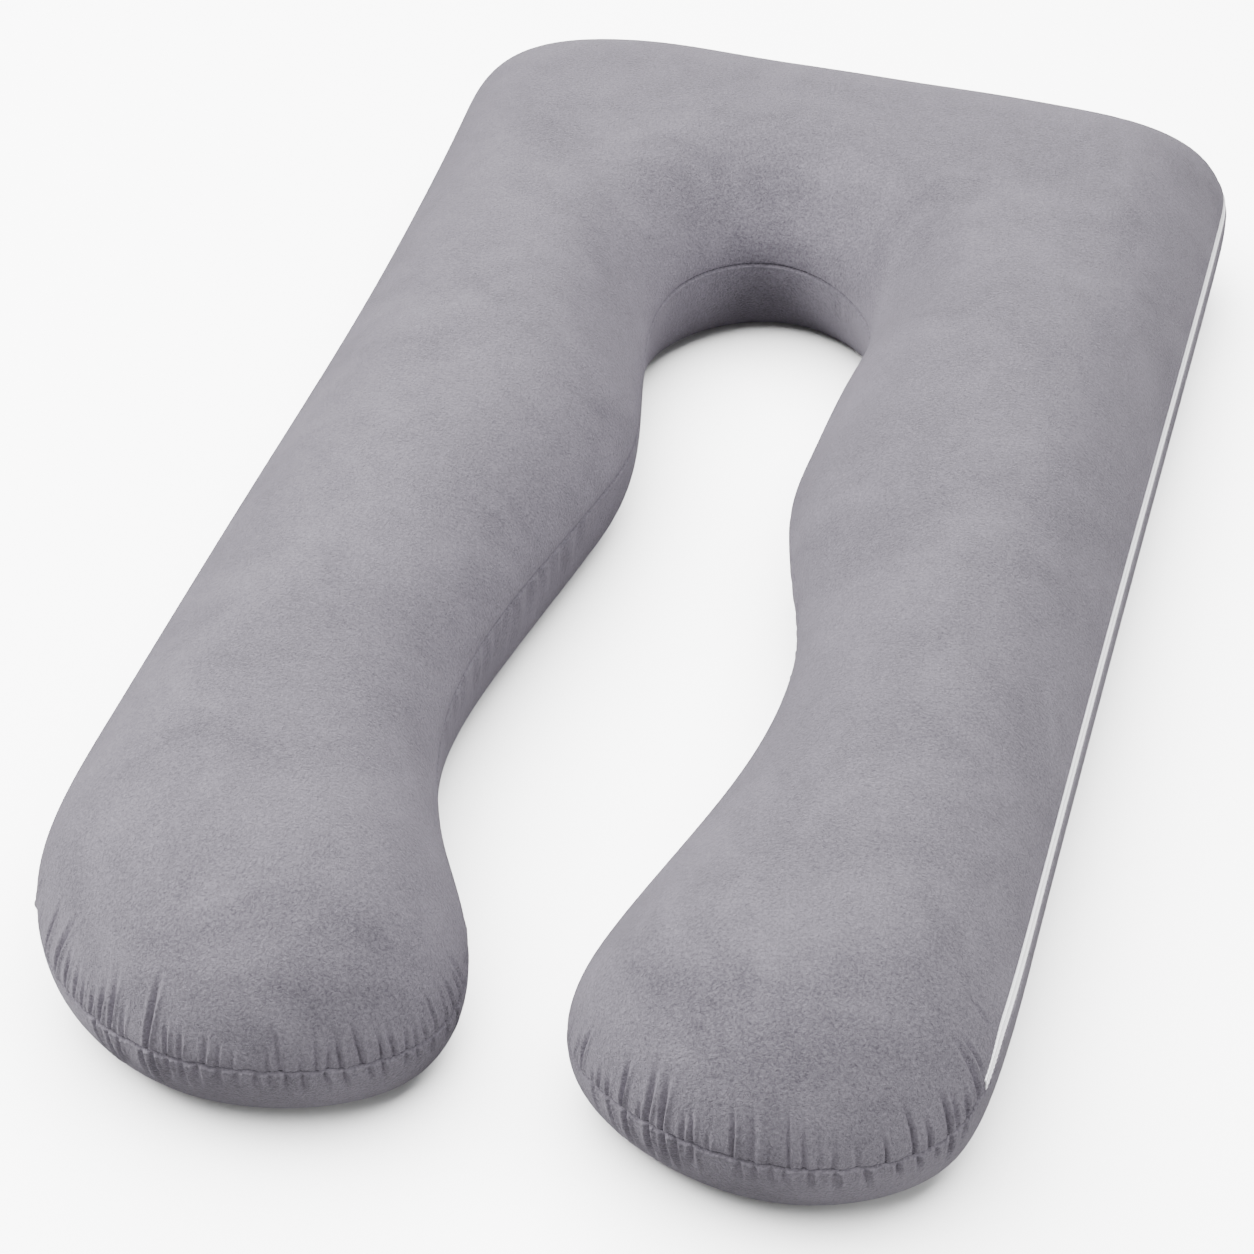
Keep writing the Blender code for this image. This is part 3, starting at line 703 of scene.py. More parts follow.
    @staticmethod
    def gather_relief(gather: Gather, along: np.ndarray, out: np.ndarray) -> np.ndarray:
        """Return one gather's relief in metres at places given in millimetres.

        Args:
            gather: the gather.
            along: places on the seam from the foot's end.
            out: lengths of cloth out from the seam.

        Returns:
            The relief, one for each place.
        """
        share = np.clip((out - gather.start) / (gather.reach - gather.start), 0.0, 1.0)
        bow = gather.bow * 4.0 * share * (1.0 - share)
        width = gather.half_width * (VALLEY_WIDTHS[0] + VALLEY_WIDTHS[1] * share)
        across = (along - gather.along - gather.lean * share - bow) / width
        square = across * across
        rounding, level = SHARP_ROUNDING
        sharp = np.exp(-SHARP_FALL * (np.sqrt(square + rounding) - level))
        soft = np.exp(-SOFT_FALL * square)
        valley = gather.crisp * sharp + (1.0 - gather.crisp) * soft
        ridge = np.exp(-((np.abs(across) - RIDGE_PLACE) ** 2) / RIDGE_SPREAD)
        ridge *= 1.0 + RIDGE_LEAN[0] * np.tanh(RIDGE_LEAN[1] * across)
        fade = (1.0 - share * share) ** 2 * (FADE_SHARES[0] + FADE_SHARES[1] * share)
        ramp = CREASE_RAMP if gather.start else SEAM_RAMP
        fade *= smooth_step((out - gather.start) / ramp + RAMP_LIFT) * (out >= gather.start)
        return -gather.depth * MM * fade * (valley - RIDGE_SHARE * ridge)

    def seam_relief(self, where: np.ndarray, away: np.ndarray) -> np.ndarray:
        """Return the relief of the seam's groove and of the zip's channel.

        Args:
            where: places along the outline.
            away: lengths of cloth from the seam.

        Returns:
            The relief in metres, one for each place.
        """
        far = np.abs(away)
        groove = -self.seam_depth * np.exp(-((far / self.seam_width) ** 2))
        groove -= self.seam_dip * np.exp(-((far / self.seam_dip_width) ** 2))
        groove += self.welt_height * np.exp(-(((away - self.welt_away) / self.welt_width) ** 2))
        wall = smooth_step((self.zip_half_width + self.zip_wall - far) / self.zip_wall)
        lip = 0.0006 * np.exp(-(((far - self.zip_half_width - 0.0035) / 0.0025) ** 2))
        channel = self.channel(where)
        return groove * (1.0 - channel) + channel * (lip - self.channel_depth * wall)

    def dressed(self, where: np.ndarray, away: np.ndarray) -> np.ndarray:
        """Return points of the surface with its seam, channel and gathers.

        Args:
            where: places along the outline.
            away: lengths of cloth from the seam.

        Returns:
            The points, a row for each place.
        """
        points, outward = self.bare(where, away)
        clear = 1.0 - self.channel(where) * smooth_step((0.011 - np.abs(away)) / 0.004)
        relief = self.seam_relief(where, away) + self.gathered(where, away) * clear
        points = points + outward * relief[:, None]
        points[:, 2] = np.maximum(points[:, 2], 0.0)
        return points

    def lifted(self, where: np.ndarray, away: np.ndarray, lift: np.ndarray) -> np.ndarray:
        """Return points that stand off the smooth surface by a lift."""
        points, outward = self.bare(where, away)
        return points + outward * lift[:, None]


@dataclass
class StuffedBody:
    """The velvet cover, stuffed and sewn: one closed mesh of both panels."""

    surface: StuffedSurface
    side_step: float = 0.0100
    foot_step: float = 0.0014
    inner_step: float = 0.0055
    inner_stretch: float = 1.050
    step_change: float = 0.100
    foot_stretch: float = 0.320
    seam_rows: tuple[float, ...] = (0.4, 0.9, 1.5, 2.2, 3.2, 4.6, 6.2, 6.7, 7.3, 8.6, 10.4, 12.6)
    top_rows: int = 18
    top_end: float = 0.098
    under_rows: int = 12
    top_pitch: float = 0.0095
    under_pitch: float = 0.022

    def stations(self) -> np.ndarray:
        """Return the places of the sections, close together round the feet."""
        outline = self.surface.outline
        where = outline.places
        step = np.full(len(where), self.side_step)
        for end in (outline.right_end, outline.left_end):
            away = np.abs(outline.from_end(where, end))
            near = smooth_step((self.foot_stretch - away) / self.step_change)
            step = np.minimum(step, self.side_step + (self.foot_step - self.side_step) * near)
        arch = np.minimum(where, outline.length - where)
        near = smooth_step((self.inner_stretch - arch) / self.step_change)
        step = np.minimum(step, self.side_step + (self.inner_step - self.side_step) * near)
        counted = np.concatenate([[0.0], np.cumsum(outline.length / outline.samples / step)])
        total = int(round(counted[-1]))
        wanted = np.arange(total) * counted[-1] / total
        return np.interp(wanted, counted, np.append(where, outline.length))

    def rows(self, stations: np.ndarray) -> list[np.ndarray]:
        """Return every row's distances from the seam, from the floor to the top.

        Args:
            stations: the mesh's places along the outline.

        Returns:
            One array for each row, with a distance for each station.
        """
        near = np.array(self.seam_rows) * MM
        end = self.surface.under_arc(stations) + self.surface.seam_rise(stations)
        rows = []
        for index in range(self.under_rows, 0, -1):
            share = (index / self.under_rows) ** 1.35
            rows.append(-(near[-1] + share * (end - near[-1])))
        rows += [np.full(len(stations), -away) for away in near[::-1]]
        rows.append(np.zeros(len(stations)))
        rows += [np.full(len(stations), away) for away in near]
        for index in range(1, self.top_rows + 1):
            share = (index / self.top_rows) ** 1.2
            rows.append(np.full(len(stations), near[-1] + share * (self.top_end - near[-1])))
        return rows

    def middle(self, loop: np.ndarray, pitch: float) -> np.ndarray:
        """Return the points of a triangular grid inside a plan loop.

        Args:
            loop: the loop's plan points.
            pitch: the grid's spacing.

        Returns:
            The grid's points, clear of the loop.
        """
        low, high = loop.min(axis=0), loop.max(axis=0)
        grid = []
        for row, y in enumerate(np.arange(low[1], high[1], pitch * math.sqrt(0.75))):
            xs = np.arange(low[0] + (pitch / 2.0 if row % 2 else 0.0), high[0], pitch)
            grid.append(np.column_stack([xs, np.full(len(xs), y)]))
        points = np.concatenate(grid)
        crossings = np.zeros(len(points), dtype=int)
        for (x0, y0), (x1, y1) in zip(loop, np.roll(loop, -1, axis=0)):
            if y0 == y1:
                continue
            spans = (y0 > points[:, 1]) != (y1 > points[:, 1])
            crossing = x0 + (points[:, 1] - y0) * (x1 - x0) / (y1 - y0)
            crossings += spans & (points[:, 0] < crossing)
        inner = points[crossings % 2 == 1]
        clear = np.ones(len(inner), dtype=bool)
        for first in range(0, len(inner), 2000):
            part = inner[first : first + 2000, None, :] - loop[None, :, :]
            clear[first : first + 2000] = (part**2).sum(axis=2).min(axis=1) > (0.5 * pitch) ** 2
        return inner[clear]

    def build(self) -> bpy.types.Object:
        """Build the closed mesh.

        Returns:
            The body's object.
        """
        stations = self.stations()
        rows = self.rows(stations)
        count = len(stations)
        points = self.surface.dressed(np.tile(stations, len(rows)), np.concatenate(rows))
        points[:count, 2] = 0.0
        faces = []
        for row in range(len(rows) - 1):
            base = row * count
            for index in range(count):
                after = (index + 1) % count
                beyond = base + count
                faces.append((base + index, base + after, beyond + after, beyond + index))
        parts = [points]
        total = len(points)
        caps = ((0, self.under_pitch, False), (len(rows) - 1, self.top_pitch, True))
        for row, pitch, crowned in caps:
            ring = np.arange(row * count, (row + 1) * count)
            loop = points[ring, :2]
            inner = self.middle(loop, pitch)
            heights = self.surface.crown_height(inner) if crowned else np.zeros(len(inner))
            parts.append(np.column_stack([inner, heights]))
            numbers = np.concatenate([ring, np.arange(total, total + len(inner))])
            total += len(inner)
            flat = [Vector(point) for point in np.concatenate([loop, inner])]
            edges = [(index, (index + 1) % count) for index in range(count)]
            result = geometry.delaunay_2d_cdt(flat, edges, [], 1, 1e-8)
            faces += [tuple(int(numbers[index]) for index in face) for face in result[2]]
        return mesh_object("velvet_cover", np.concatenate(parts), faces)


def sweep(columns: list[np.ndarray], closed_ends: bool = True) -> tuple[np.ndarray, list]:
    """Join columns of points, in order round a section, into one closed strip.

    Args:
        columns: one array for each corner of the section, a row for each station.
        closed_ends: whether the two ends are filled.

    Returns:
        The points and the faces.
    """
    corners = len(columns)
    stations = len(columns[0])
    points = np.stack(columns, axis=1).reshape(-1, 3)
    faces = []
    for station in range(stations - 1):
        for corner in range(corners):
            after = (corner + 1) % corners
            low = station * corners
            faces.append((low + corner, low + after, low + corners + after, low + corners + corner))
    if closed_ends:
        faces.append(tuple(range(corners)))
        faces.append(tuple(range((stations - 1) * corners, stations * corners)))
    return points, faces


def threads(name: str, paths: np.ndarray, radius: float, sides: int) -> bpy.types.Object:
    """Build many short round threads as one object.

    Args:
        name: the object's name.
        paths: an array of thread, point and coordinate.
        radius: the threads' radius.
        sides: the number of sides of each thread.

    Returns:
        The joined object.
    """
    count, steps, _ = paths.shape
    ahead = np.gradient(paths, axis=1)
    ahead /= np.linalg.norm(ahead, axis=2)[:, :, None]
    up = np.array([0.1, 0.05, 1.0])
    side = np.cross(ahead, up)
    side /= np.linalg.norm(side, axis=2)[:, :, None]
    other = np.cross(side, ahead)
    turn = np.arange(sides) * 2.0 * math.pi / sides
    taper = np.ones(steps)
    taper[0] = taper[-1] = 0.55
    ring = (
        side[:, :, None, :] * np.cos(turn)[None, None, :, None]
        + other[:, :, None, :] * np.sin(turn)[None, None, :, None]
    )
    points = paths[:, :, None, :] + ring * (radius * taper)[None, :, None, None]
    faces = []
    for thread in range(count):
        base = thread * steps * sides
        for step in range(steps - 1):
            low = base + step * sides
            for index in range(sides):
                after = (index + 1) % sides
                faces.append((low + index, low + after, low + sides + after, low + sides + index))
        faces.append(tuple(base + index for index in range(sides)))
        last = base + (steps - 1) * sides
        faces.append(tuple(last + index for index in range(sides)))
    return mesh_object(name, points.reshape(-1, 3), faces)


@dataclass
class SeamThread:
    """The stitches that join the panels, sunk in the seam, except along the zip; their dark grey is
    painted shade for the seam's groove.
    """

    surface: StuffedSurface
    pitch: float = 0.0040
    length: float = 0.0030
    radius: float = 0.00045
    sunk: float = -0.0028
    steps: int = 3
    sides: int = 4

    def build(self) -> bpy.types.Object:
        """Build all the stitches as one object."""
        length = self.surface.outline.length
        where = np.arange(0.0, length - self.pitch / 2.0, self.pitch)
        where = where[self.surface.channel(where) == 0.0]
        share = np.linspace(-0.5, 0.5, self.steps)
        spots = (where[:, None] + share[None, :] * self.length).ravel()
        lift = np.tile(self.sunk - 0.0004 * (2.0 * share) ** 2, len(where))
        paths = self.surface.lifted(spots, np.zeros(len(spots)), lift)
        paths = paths.reshape(len(where), self.steps, 3)
        return threads("seam_stitches", paths, self.radius, self.sides)


@dataclass
class SideZip:
    """The closed zip in its channel: two woven tapes, the coil and the sewing."""

    surface: StuffedSurface
    tape_width: float = 0.0120
    tape_gap: float = 0.0004
    tape_level: float = -0.0008
    tape_base: float = -0.0018
    coil_pitch: float = 0.0021
    coil_half_width: float = 0.0021
    coil_radius: float = 0.00042
    coil_level: float = -0.0004
    stitch_pitch: float = 0.0034
    stitch_length: float = 0.0026
    stitch_radius: float = 0.00028
    stitch_away: float = 0.0048
    end_margin: float = 0.0008

    def places(self, step: float) -> np.ndarray:
        """Return even places along the zip.

        Args:
            step: the largest distance between two places.

        Returns:
            The places along the outline.
        """
        surface = self.surface
        length = surface.zip_length - 2.0 * self.end_margin
        start = surface.outline.right_end + surface.zip_start + self.end_margin
        return start + np.linspace(0.0, length, int(length / step) + 1)

    def column(self, where: np.ndarray, away: float, level: float) -> np.ndarray:
        """Return one line of points along the zip."""
        return self.surface.lifted(where, np.full(len(where), away), np.full(len(where), level))

    def tapes(self) -> bpy.types.Object:
        """Build the two tapes, side by side, as one object."""
        where = self.places(0.005)
        points = []
        faces = []
        for side in (-1.0, 1.0):
            inner, outer = self.tape_gap * side, self.tape_width / 2.0 * side
            third = inner + (outer - inner) / 3.0
            section = (
                (inner, self.tape_base),
                (outer, self.tape_base),
                (outer, self.tape_level - 0.0002),
                (outer - 0.0004 * side, self.tape_level),
                (third, self.tape_level + 0.0001),
                (inner, self.tape_level),
            )
            columns = [self.column(where, away, level) for away, level in section]
            new_points, new_faces = sweep(columns)
            shift = sum(len(part) for part in points)
            points.append(new_points)
            faces += [tuple(index + shift for index in face) for face in new_faces]
        return mesh_object("zip_tapes", np.concatenate(points), faces, smooth=False)

    def coil(self) -> bpy.types.Object:
        """Build the closed coil as a row of bent loops across the zip's middle."""
        where = self.places(self.coil_pitch)
        steps = 7
        across = np.linspace(-1.0, 1.0, steps)
        lean = 0.35 * self.coil_pitch * across
        rise = 0.0009 * (1.0 - across**4) - 0.0003
        spots = (where[:, None] + lean[None, :]).ravel()
        away = np.tile(across * self.coil_half_width, len(where))
        lift = np.tile(self.coil_level + rise, len(where))
        paths = self.surface.lifted(spots, away, lift).reshape(len(where), steps, 3)
        return threads("zip_coil", paths, self.coil_radius, 6)

    def stitching(self) -> bpy.types.Object:
        """Build the two rows of stitches that hold the tapes."""
        where = self.places(self.stitch_pitch)
        steps = 4
        share = np.linspace(-0.5, 0.5, steps)
        rows = []
        for side in (-1.0, 1.0):
            spots = (where[:, None] + share[None, :] * self.stitch_length).ravel()
            away = np.full(len(spots), self.stitch_away * side)
            lift = np.tile(self.tape_level + 0.0004 * (1.0 - (2.0 * share) ** 2), len(where))
            rows.append(self.surface.lifted(spots, away, lift).reshape(len(where), steps, 3))
        return threads("zip_stitching", np.concatenate(rows), self.stitch_radius, 5)


@dataclass(frozen=True)
class ShadeAndSheenPatch:
    """A broad place painted paler or darker: paler ones are painted sheen and side light on edges,
    darker ones painted shade on the tops.
    """

    place: tuple[float, float, float]
    radius: float
    change: float


@dataclass(frozen=True)
class Velvet:
    """Short-pile velvet: grey with a lavender cast, with random nap patches, plus placed patches of
    painted sheen and painted shade.
    """

    name: str = "grey_velvet"
    shade: tuple[float, float, float] = (0.200, 0.185, 0.221)
    light: tuple[float, float, float] = (0.498, 0.462, 0.540)
    sheen: float = 1.00
    # Placed patches of painted light: positive changes paint sheen on edges and sides, negative
    # ones paint shade on the tops
    patches: tuple[ShadeAndSheenPatch, ...] = (
        ShadeAndSheenPatch((0.06, 0.52, 0.20), 0.17, -0.030),
        ShadeAndSheenPatch((-0.17, 0.60, 0.20), 0.12, -0.014),
        ShadeAndSheenPatch((0.24, 0.50, 0.20), 0.13, -0.014),
        ShadeAndSheenPatch((-0.15, 0.33, 0.17), 0.10, 0.042),
        ShadeAndSheenPatch((-0.24, 0.05, 0.20), 0.12, -0.012),
        ShadeAndSheenPatch((0.21, -0.12, 0.20), 0.12, -0.014),
        ShadeAndSheenPatch((-0.27, -0.50, 0.19), 0.12, -0.014),
        ShadeAndSheenPatch((-0.13, -0.46, 0.17), 0.09, 0.030),
        ShadeAndSheenPatch((0.12, 0.30, 0.14), 0.05, 0.034),
        ShadeAndSheenPatch((0.36, 0.20, 0.15), 0.10, 0.022),
    )

    def material(self) -> bpy.types.Material:
        """Build the velvet's nodes.

        Returns:
            The material.
        """
        material, shader = principled(self.name, self.light, 0.92)
        nodes, links = material.node_tree.nodes, material.node_tree.links
        shader.inputs["Sheen Weight"].default_value = self.sheen
        shader.inputs["Sheen Roughness"].default_value = 0.50
        shader.inputs["Sheen Tint"].default_value = (0.94, 0.88, 1.0, 1.0)
        shader.inputs["Specular IOR Level"].default_value = 0.18
        place = nodes.new("ShaderNodeTexCoord").outputs["Object"]
        patches = noise(nodes, links, place, 7.5, 4.0, 0.62, 0.9)
        brushed = noise(nodes, links, place, 34.0, 5.0, 0.60, 0.4)
        grain = noise(nodes, links, place, 430.0, 2.0, 0.65, 0.5)
        mixed = scaled_sum(nodes, links, ((patches, 0.34), (brushed, 0.13), (grain, 0.53)))
        # Add the placed patches of painted sheen and painted shade to the random nap tone
        for patch in self.patches:
            mixed = painted_light_patch(nodes, links, mixed, patch)
        ramp = nodes.new("ShaderNodeValToRGB")
        ramp.color_ramp.elements[0].position = 0.36
        ramp.color_ramp.elements[0].color = (*self.shade, 1.0)
        ramp.color_ramp.elements[1].position = 0.64
        ramp.color_ramp.elements[1].color = (*self.light, 1.0)
        links.new(mixed, ramp.inputs["Fac"])
        links.new(ramp.outputs["Color"], shader.inputs["Base Color"])
        fibres = noise(nodes, links, place, 900.0, 2.0, 0.6, 0.0)
        pile = scaled_sum(nodes, links, ((fibres, 0.3), (grain, 0.7)))
        bump = nodes.new("ShaderNodeBump")
        bump.inputs["Strength"].default_value = 0.90
        bump.inputs["Distance"].default_value = 0.0030
        links.new(pile, bump.inputs["Height"])
        links.new(bump.outputs["Normal"], shader.inputs["Normal"])
        return material


@dataclass(frozen=True)
class WovenTape:
    """White polyester zip tape with a fine herringbone weave."""

    name: str = "white_zip_tape"
    colour: tuple[float, float, float] = (0.92, 0.92, 0.935)

    def material(self) -> bpy.types.Material:
        """Build the tape's nodes."""
        material, shader = principled(self.name, self.colour, 0.72)
        nodes, links = material.node_tree.nodes, material.node_tree.links
        shader.inputs["Sheen Weight"].default_value = 0.15
        place = nodes.new("ShaderNodeTexCoord").outputs["Object"]
        weave = nodes.new("ShaderNodeTexWave")
        weave.inputs["Scale"].default_value = 420.0
        weave.inputs["Distortion"].default_value = 0.6
        weave.bands_direction = "DIAGONAL"
        links.new(place, weave.inputs["Vector"])
        wear = noise(nodes, links, place, 60.0, 3.0, 0.5, 0.0)
        ramp = nodes.new("ShaderNodeValToRGB")
        ramp.color_ramp.elements[0].color = (0.84, 0.84, 0.86, 1.0)
        ramp.color_ramp.elements[1].color = (*self.colour, 1.0)
        ramp.color_ramp.elements[1].position = 0.55
        mixed = scaled_sum(nodes, links, ((weave.outputs["Fac"], 0.5), (wear, 0.5)))
        links.new(mixed, ramp.inputs["Fac"])
        links.new(ramp.outputs["Color"], shader.inputs["Base Color"])
        bump = nodes.new("ShaderNodeBump")
        bump.inputs["Strength"].default_value = 0.4
        bump.inputs["Distance"].default_value = 0.0003
        links.new(weave.outputs["Fac"], bump.inputs["Height"])
        links.new(bump.outputs["Normal"], shader.inputs["Normal"])
        return material


@dataclass(frozen=True)
class Filament:
    """A round thread or nylon filament with a faint variation of shade."""

    name: str
    colour: tuple[float, float, float]
    roughness: float

    def material(self) -> bpy.types.Material:
        """Build the filament's nodes."""
        material, shader = principled(self.name, self.colour, self.roughness)
        nodes, links = material.node_tree.nodes, material.node_tree.links
        place = nodes.new("ShaderNodeTexCoord").outputs["Object"]
        twist = noise(nodes, links, place, 700.0, 2.0, 0.5, 0.0)
        ramp = nodes.new("ShaderNodeValToRGB")
        dark = tuple(0.86 * value for value in self.colour)
        ramp.color_ramp.elements[0].color = (*dark, 1.0)
        ramp.color_ramp.elements[1].color = (*self.colour, 1.0)
        links.new(twist, ramp.inputs["Fac"])
        links.new(ramp.outputs["Color"], shader.inputs["Base Color"])
        return material


@dataclass(frozen=True)
class StudioFloor:
    """The plain white studio floor."""

    name: str = "studio_floor"
    colour: tuple[float, float, float] = (0.93, 0.93, 0.93)

    def material(self) -> bpy.types.Material:
        """Build the floor's material."""
        return principled(self.name, self.colour, 0.9)[0]


def principled(name: str, colour: tuple, roughness: float) -> tuple:
    """Make a Principled material.

    Args:
        name: the material's name.
        colour: its base colour.
        roughness: its roughness.

    Returns:
        The material and its shader node.
    """
    material = bpy.data.materials.new(name)
    material.use_nodes = True
    shader = material.node_tree.nodes["Principled BSDF"]
    shader.inputs["Base Color"].default_value = (*colour, 1.0)
    shader.inputs["Roughness"].default_value = roughness
    return material, shader


def noise(
    nodes: bpy.types.Nodes,
    links: bpy.types.NodeLinks,
    place: bpy.types.NodeSocket,
    scale: float,
    detail: float,
    rough: float,
    warp: float,
) -> bpy.types.NodeSocket:
    """Add a noise texture and return its value's socket.

    Args:
        nodes: the material's nodes.
        links: the material's links.
        place: the socket with the coordinates.
        scale: cells a metre.
        detail: the number of octaves.
        rough: the weight of the finer octaves.
        warp: the distortion.

    Returns:
        The noise's value.
    """
    texture = nodes.new("ShaderNodeTexNoise")
    texture.inputs["Scale"].default_value = scale
    texture.inputs["Detail"].default_value = detail
    texture.inputs["Roughness"].default_value = rough
    texture.inputs["Distortion"].default_value = warp
    links.new(place, texture.inputs["Vector"])
    return texture.outputs["Fac"]


def scaled_sum(
    nodes: bpy.types.Nodes, links: bpy.types.NodeLinks, terms: tuple
) -> bpy.types.NodeSocket:
    """Add up sockets, each times its share, and return the sum's socket.

    Args:
        nodes: the material's nodes.
        links: the material's links.
        terms: pairs of a socket and its share.

    Returns:
        The socket of the sum.
    """
    total = None
    for socket, share in terms:
        times = nodes.new("ShaderNodeMath")
        times.operation = "MULTIPLY"
        times.inputs[1].default_value = share
        links.new(socket, times.inputs[0])
        if total is None:
            total = times.outputs[0]
            continue
        plus = nodes.new("ShaderNodeMath")
        plus.operation = "ADD"
        links.new(total, plus.inputs[0])
        links.new(times.outputs[0], plus.inputs[1])
        total = plus.outputs[0]
    return total


@dataclass(frozen=True)
class SoftBox:
    """A square studio lamp that faces the pillow's middle."""

    name: str
    place: tuple[float, float, float]
    size: float
    watts: float

    def hang(self, receivers: list[bpy.types.Object] | None = None) -> bpy.types.Object:
        """Hang the lamp.

        Args:
            receivers: the only objects that it lights, or None for all.

        Returns:
            The lamp's object.
        """
        data = bpy.data.lights.new(self.name, "AREA")
        data.shape = "SQUARE"
        data.size = self.size
        data.energy = self.watts
        lamp = link(self.name, data)
        lamp.location = self.place
        lamp.rotation_euler = (-Vector(self.place)).to_track_quat("-Z", "Y").to_euler()
        if receivers:
            group = bpy.data.collections.new(f"{self.name}_receivers")
            for thing in receivers:
                group.objects.link(thing)
            lamp.light_linking.receiver_collection = group
        return lamp


def painted_light_patch(
    nodes: bpy.types.Nodes,
    links: bpy.types.NodeLinks,
    mixed: bpy.types.NodeSocket,
    patch: ShadeAndSheenPatch,
) -> bpy.types.NodeSocket:
    """Add one patch of painted light to a value and return the sum's socket: a painted highlight
    when its change is above 0, painted shade when below.

    Args:
        nodes: the material's nodes.
        links: the material's links.
        mixed: the value's socket.
        patch: the patch.

    Returns:
        The socket of the value with the patch.
    """
    place = nodes.new("ShaderNodeTexCoord").outputs["Object"]
    away = nodes.new("ShaderNodeVectorMath")
    away.operation = "DISTANCE"
    away.inputs[1].default_value = patch.place
    links.new(place, away.inputs[0])
    fall = nodes.new("ShaderNodeMapRange")
    fall.interpolation_type = "SMOOTHSTEP"
    fall.inputs["From Min"].default_value = patch.radius * 1.25
    fall.inputs["From Max"].default_value = 0.0
    fall.inputs["To Min"].default_value = 0.0
    fall.inputs["To Max"].default_value = patch.change
    links.new(away.outputs["Value"], fall.inputs["Value"])
    plus = nodes.new("ShaderNodeMath")
    plus.operation = "ADD"
    links.new(mixed, plus.inputs[0])
    links.new(fall.outputs["Result"], plus.inputs[1])
    return plus.outputs[0]


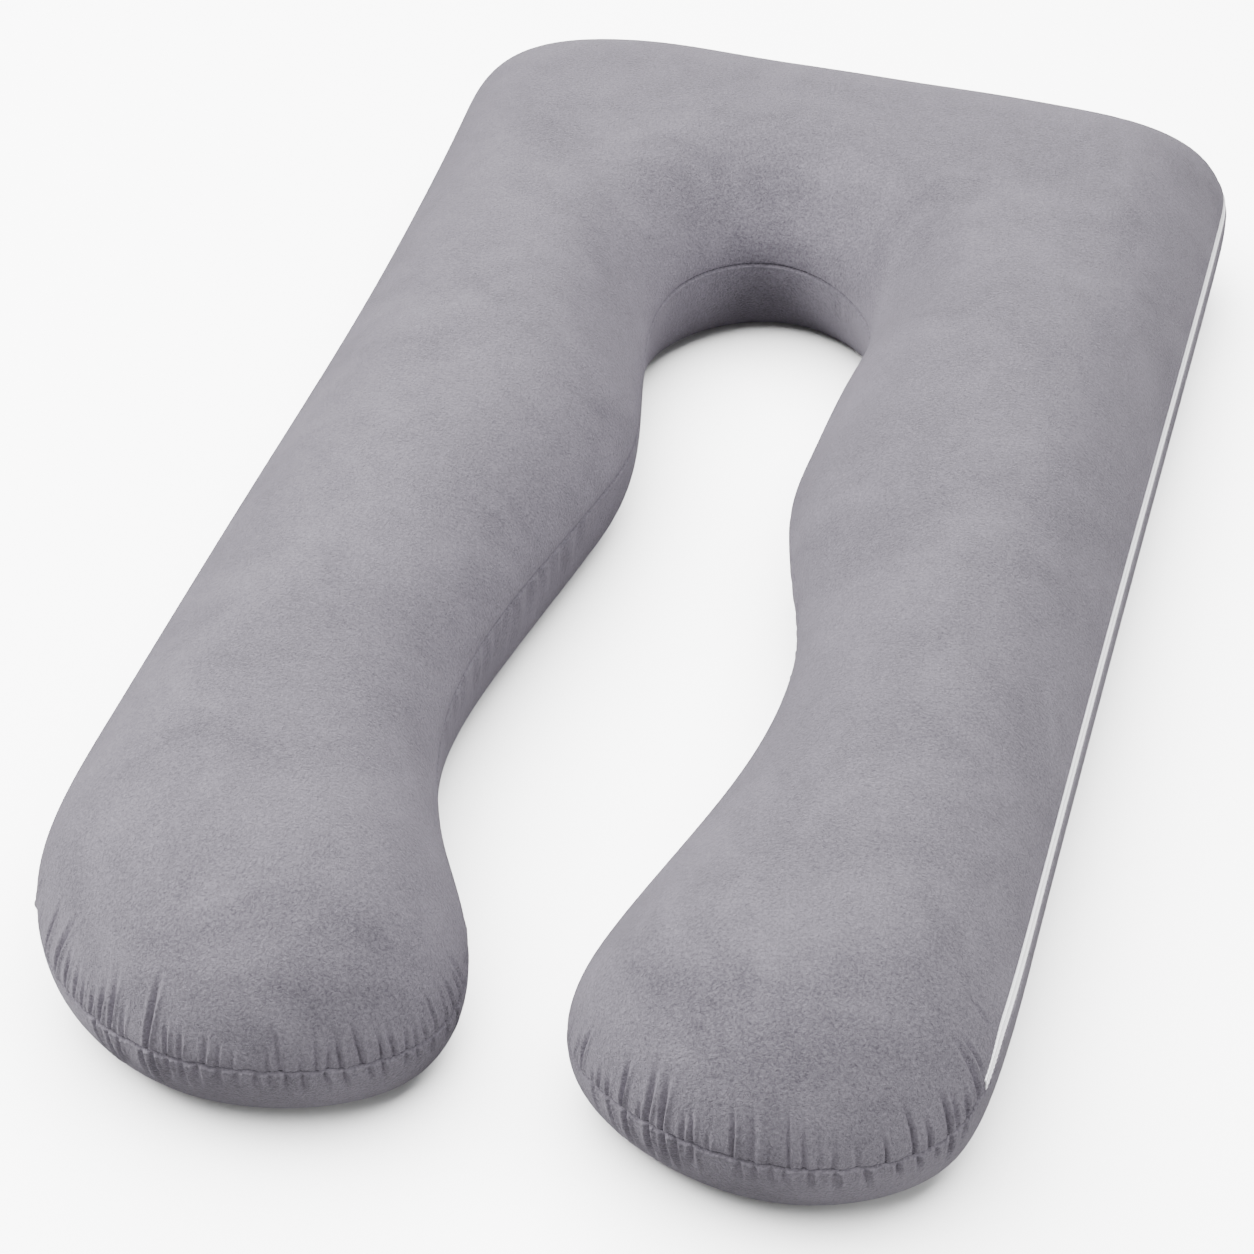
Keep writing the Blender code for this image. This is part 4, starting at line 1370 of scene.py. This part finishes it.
@dataclass
class Studio:
    """The white studio: floor, soft lights and the camera at the photograph's angle."""

    camera_place: tuple[float, float, float] = (0.5120, -2.1045, 1.811)
    azimuth: float = 15.64
    elevation: float = 40.57
    roll: float = -0.57
    focal_pixels: float = 3020.0
    shift_pixels: tuple[float, float] = (8.9, 1.05)
    sensor: float = 36.0
    horizon: float = 0.20
    zenith: float = 1.08
    key: SoftBox = SoftBox("key_light", (-2.4, -0.5, 1.8), 1.4, 68.0)
    side: SoftBox = SoftBox("side_light", (3.0, -0.8, 1.5), 1.2, 24.0)
    front: SoftBox = SoftBox("front_light", (-1.3, -3.4, 0.6), 0.8, 8.0)
    floor_wash: SoftBox = SoftBox("floor_wash", (-0.7, 0.5, 4.2), 7.0, 3000.0)
    zip_wash: SoftBox = SoftBox("zip_wash", (2.6, -1.6, 1.6), 1.2, 220.0)

    def camera(self) -> bpy.types.Object:
        """Place the camera."""
        data = bpy.data.cameras.new("studio_camera")
        data.sensor_width = self.sensor
        data.lens = self.focal_pixels / PHOTO_PIXELS * self.sensor
        data.shift_x = self.shift_pixels[0] / PHOTO_PIXELS
        data.shift_y = self.shift_pixels[1] / PHOTO_PIXELS
        data.clip_end = 2000.0
        thing = link("studio_camera", data)
        turned = Matrix.Rotation(math.radians(self.azimuth), 4, "Z")
        tipped = Matrix.Rotation(math.radians(90.0 - self.elevation), 4, "X")
        rolled = Matrix.Rotation(math.radians(self.roll), 4, "Z")
        thing.matrix_world = Matrix.Translation(self.camera_place) @ turned @ tipped @ rolled
        bpy.context.scene.camera = thing
        return thing

    def floor(self) -> bpy.types.Object:
        """Lay the floor just under the pillow.

        The pillow takes no light back from it, so the walls stay as dark as in the photo.
        """
        half = 300.0
        low = -0.0004
        corners = [(-half, -half, low), (half, -half, low), (half, half, low), (-half, half, low)]
        data = bpy.data.meshes.new("studio_floor")
        data.from_pydata(corners, [], [(0, 1, 2, 3)])
        thing = link("studio_floor", data)
        thing.data.materials.append(StudioFloor().material())
        thing.visible_diffuse = False
        thing.visible_glossy = False
        return thing

    def world(self) -> None:
        """Fill the room with white light that is strongest from overhead."""
        world = bpy.data.worlds.new("studio_air")
        world.use_nodes = True
        nodes, links = world.node_tree.nodes, world.node_tree.links
        place = nodes.new("ShaderNodeTexCoord").outputs["Generated"]
        split = nodes.new("ShaderNodeSeparateXYZ")
        links.new(place, split.inputs[0])
        strength = nodes.new("ShaderNodeMapRange")
        strength.inputs["To Min"].default_value = self.horizon
        strength.inputs["To Max"].default_value = self.zenith
        links.new(split.outputs["Z"], strength.inputs["Value"])
        above = nodes.new("ShaderNodeMath")
        above.operation = "GREATER_THAN"
        above.inputs[1].default_value = 0.0
        links.new(split.outputs["Z"], above.inputs[0])
        lit = nodes.new("ShaderNodeMath")
        lit.operation = "MULTIPLY"
        links.new(strength.outputs["Result"], lit.inputs[0])
        links.new(above.outputs[0], lit.inputs[1])
        back = nodes["Background"]
        back.inputs["Color"].default_value = (1.0, 1.0, 1.0, 1.0)
        links.new(lit.outputs[0], back.inputs["Strength"])
        bpy.context.scene.world = world

    def build(self, zip_pieces: list[bpy.types.Object]) -> None:
        """Set up the whole studio.

        Args:
            zip_pieces: the white pieces that have a wash of their own.
        """
        floor = self.floor()
        self.world()
        self.key.hang()
        self.side.hang()
        self.front.hang()
        self.floor_wash.hang([floor])
        self.zip_wash.hang(zip_pieces)
        self.camera()


def dress(piece: bpy.types.Object, material: bpy.types.Material) -> None:
    """Give a piece its finish and let it ride on the pillow.

    Args:
        piece: the piece.
        material: its finish.
    """
    piece.data.materials.clear()
    piece.data.materials.append(material)
    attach(piece, "root")
    mesh = piece.data
    LOG.info("%s: %d points, %d faces", piece.name, len(mesh.vertices), len(mesh.polygons))


def main() -> None:
    """Build the pillow, its zip and the studio."""
    logging.basicConfig(level=logging.INFO)
    surface = StuffedSurface(CutOutline())
    cover = StuffedBody(surface).build()
    dress(cover, Velvet().material())
    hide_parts("pillow")
    seam = SeamThread(surface).build()
    # The thread's dark grey, the velvet's darkest tone, paints the shade in the seam's groove
    dress(seam, Filament("seam_shade_thread", (0.200, 0.190, 0.222), 0.70).material())
    side_zip = SideZip(surface)
    tapes = side_zip.tapes()
    dress(tapes, WovenTape().material())
    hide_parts("zip_band")
    coil = side_zip.coil()
    dress(coil, Filament("white_nylon", (0.92, 0.92, 0.935), 0.38).material())
    stitching = side_zip.stitching()
    dress(stitching, Filament("white_thread", (0.88, 0.88, 0.90), 0.65).material())
    Studio().build([tapes, coil, stitching])


if __name__ == "__main__":
    main()
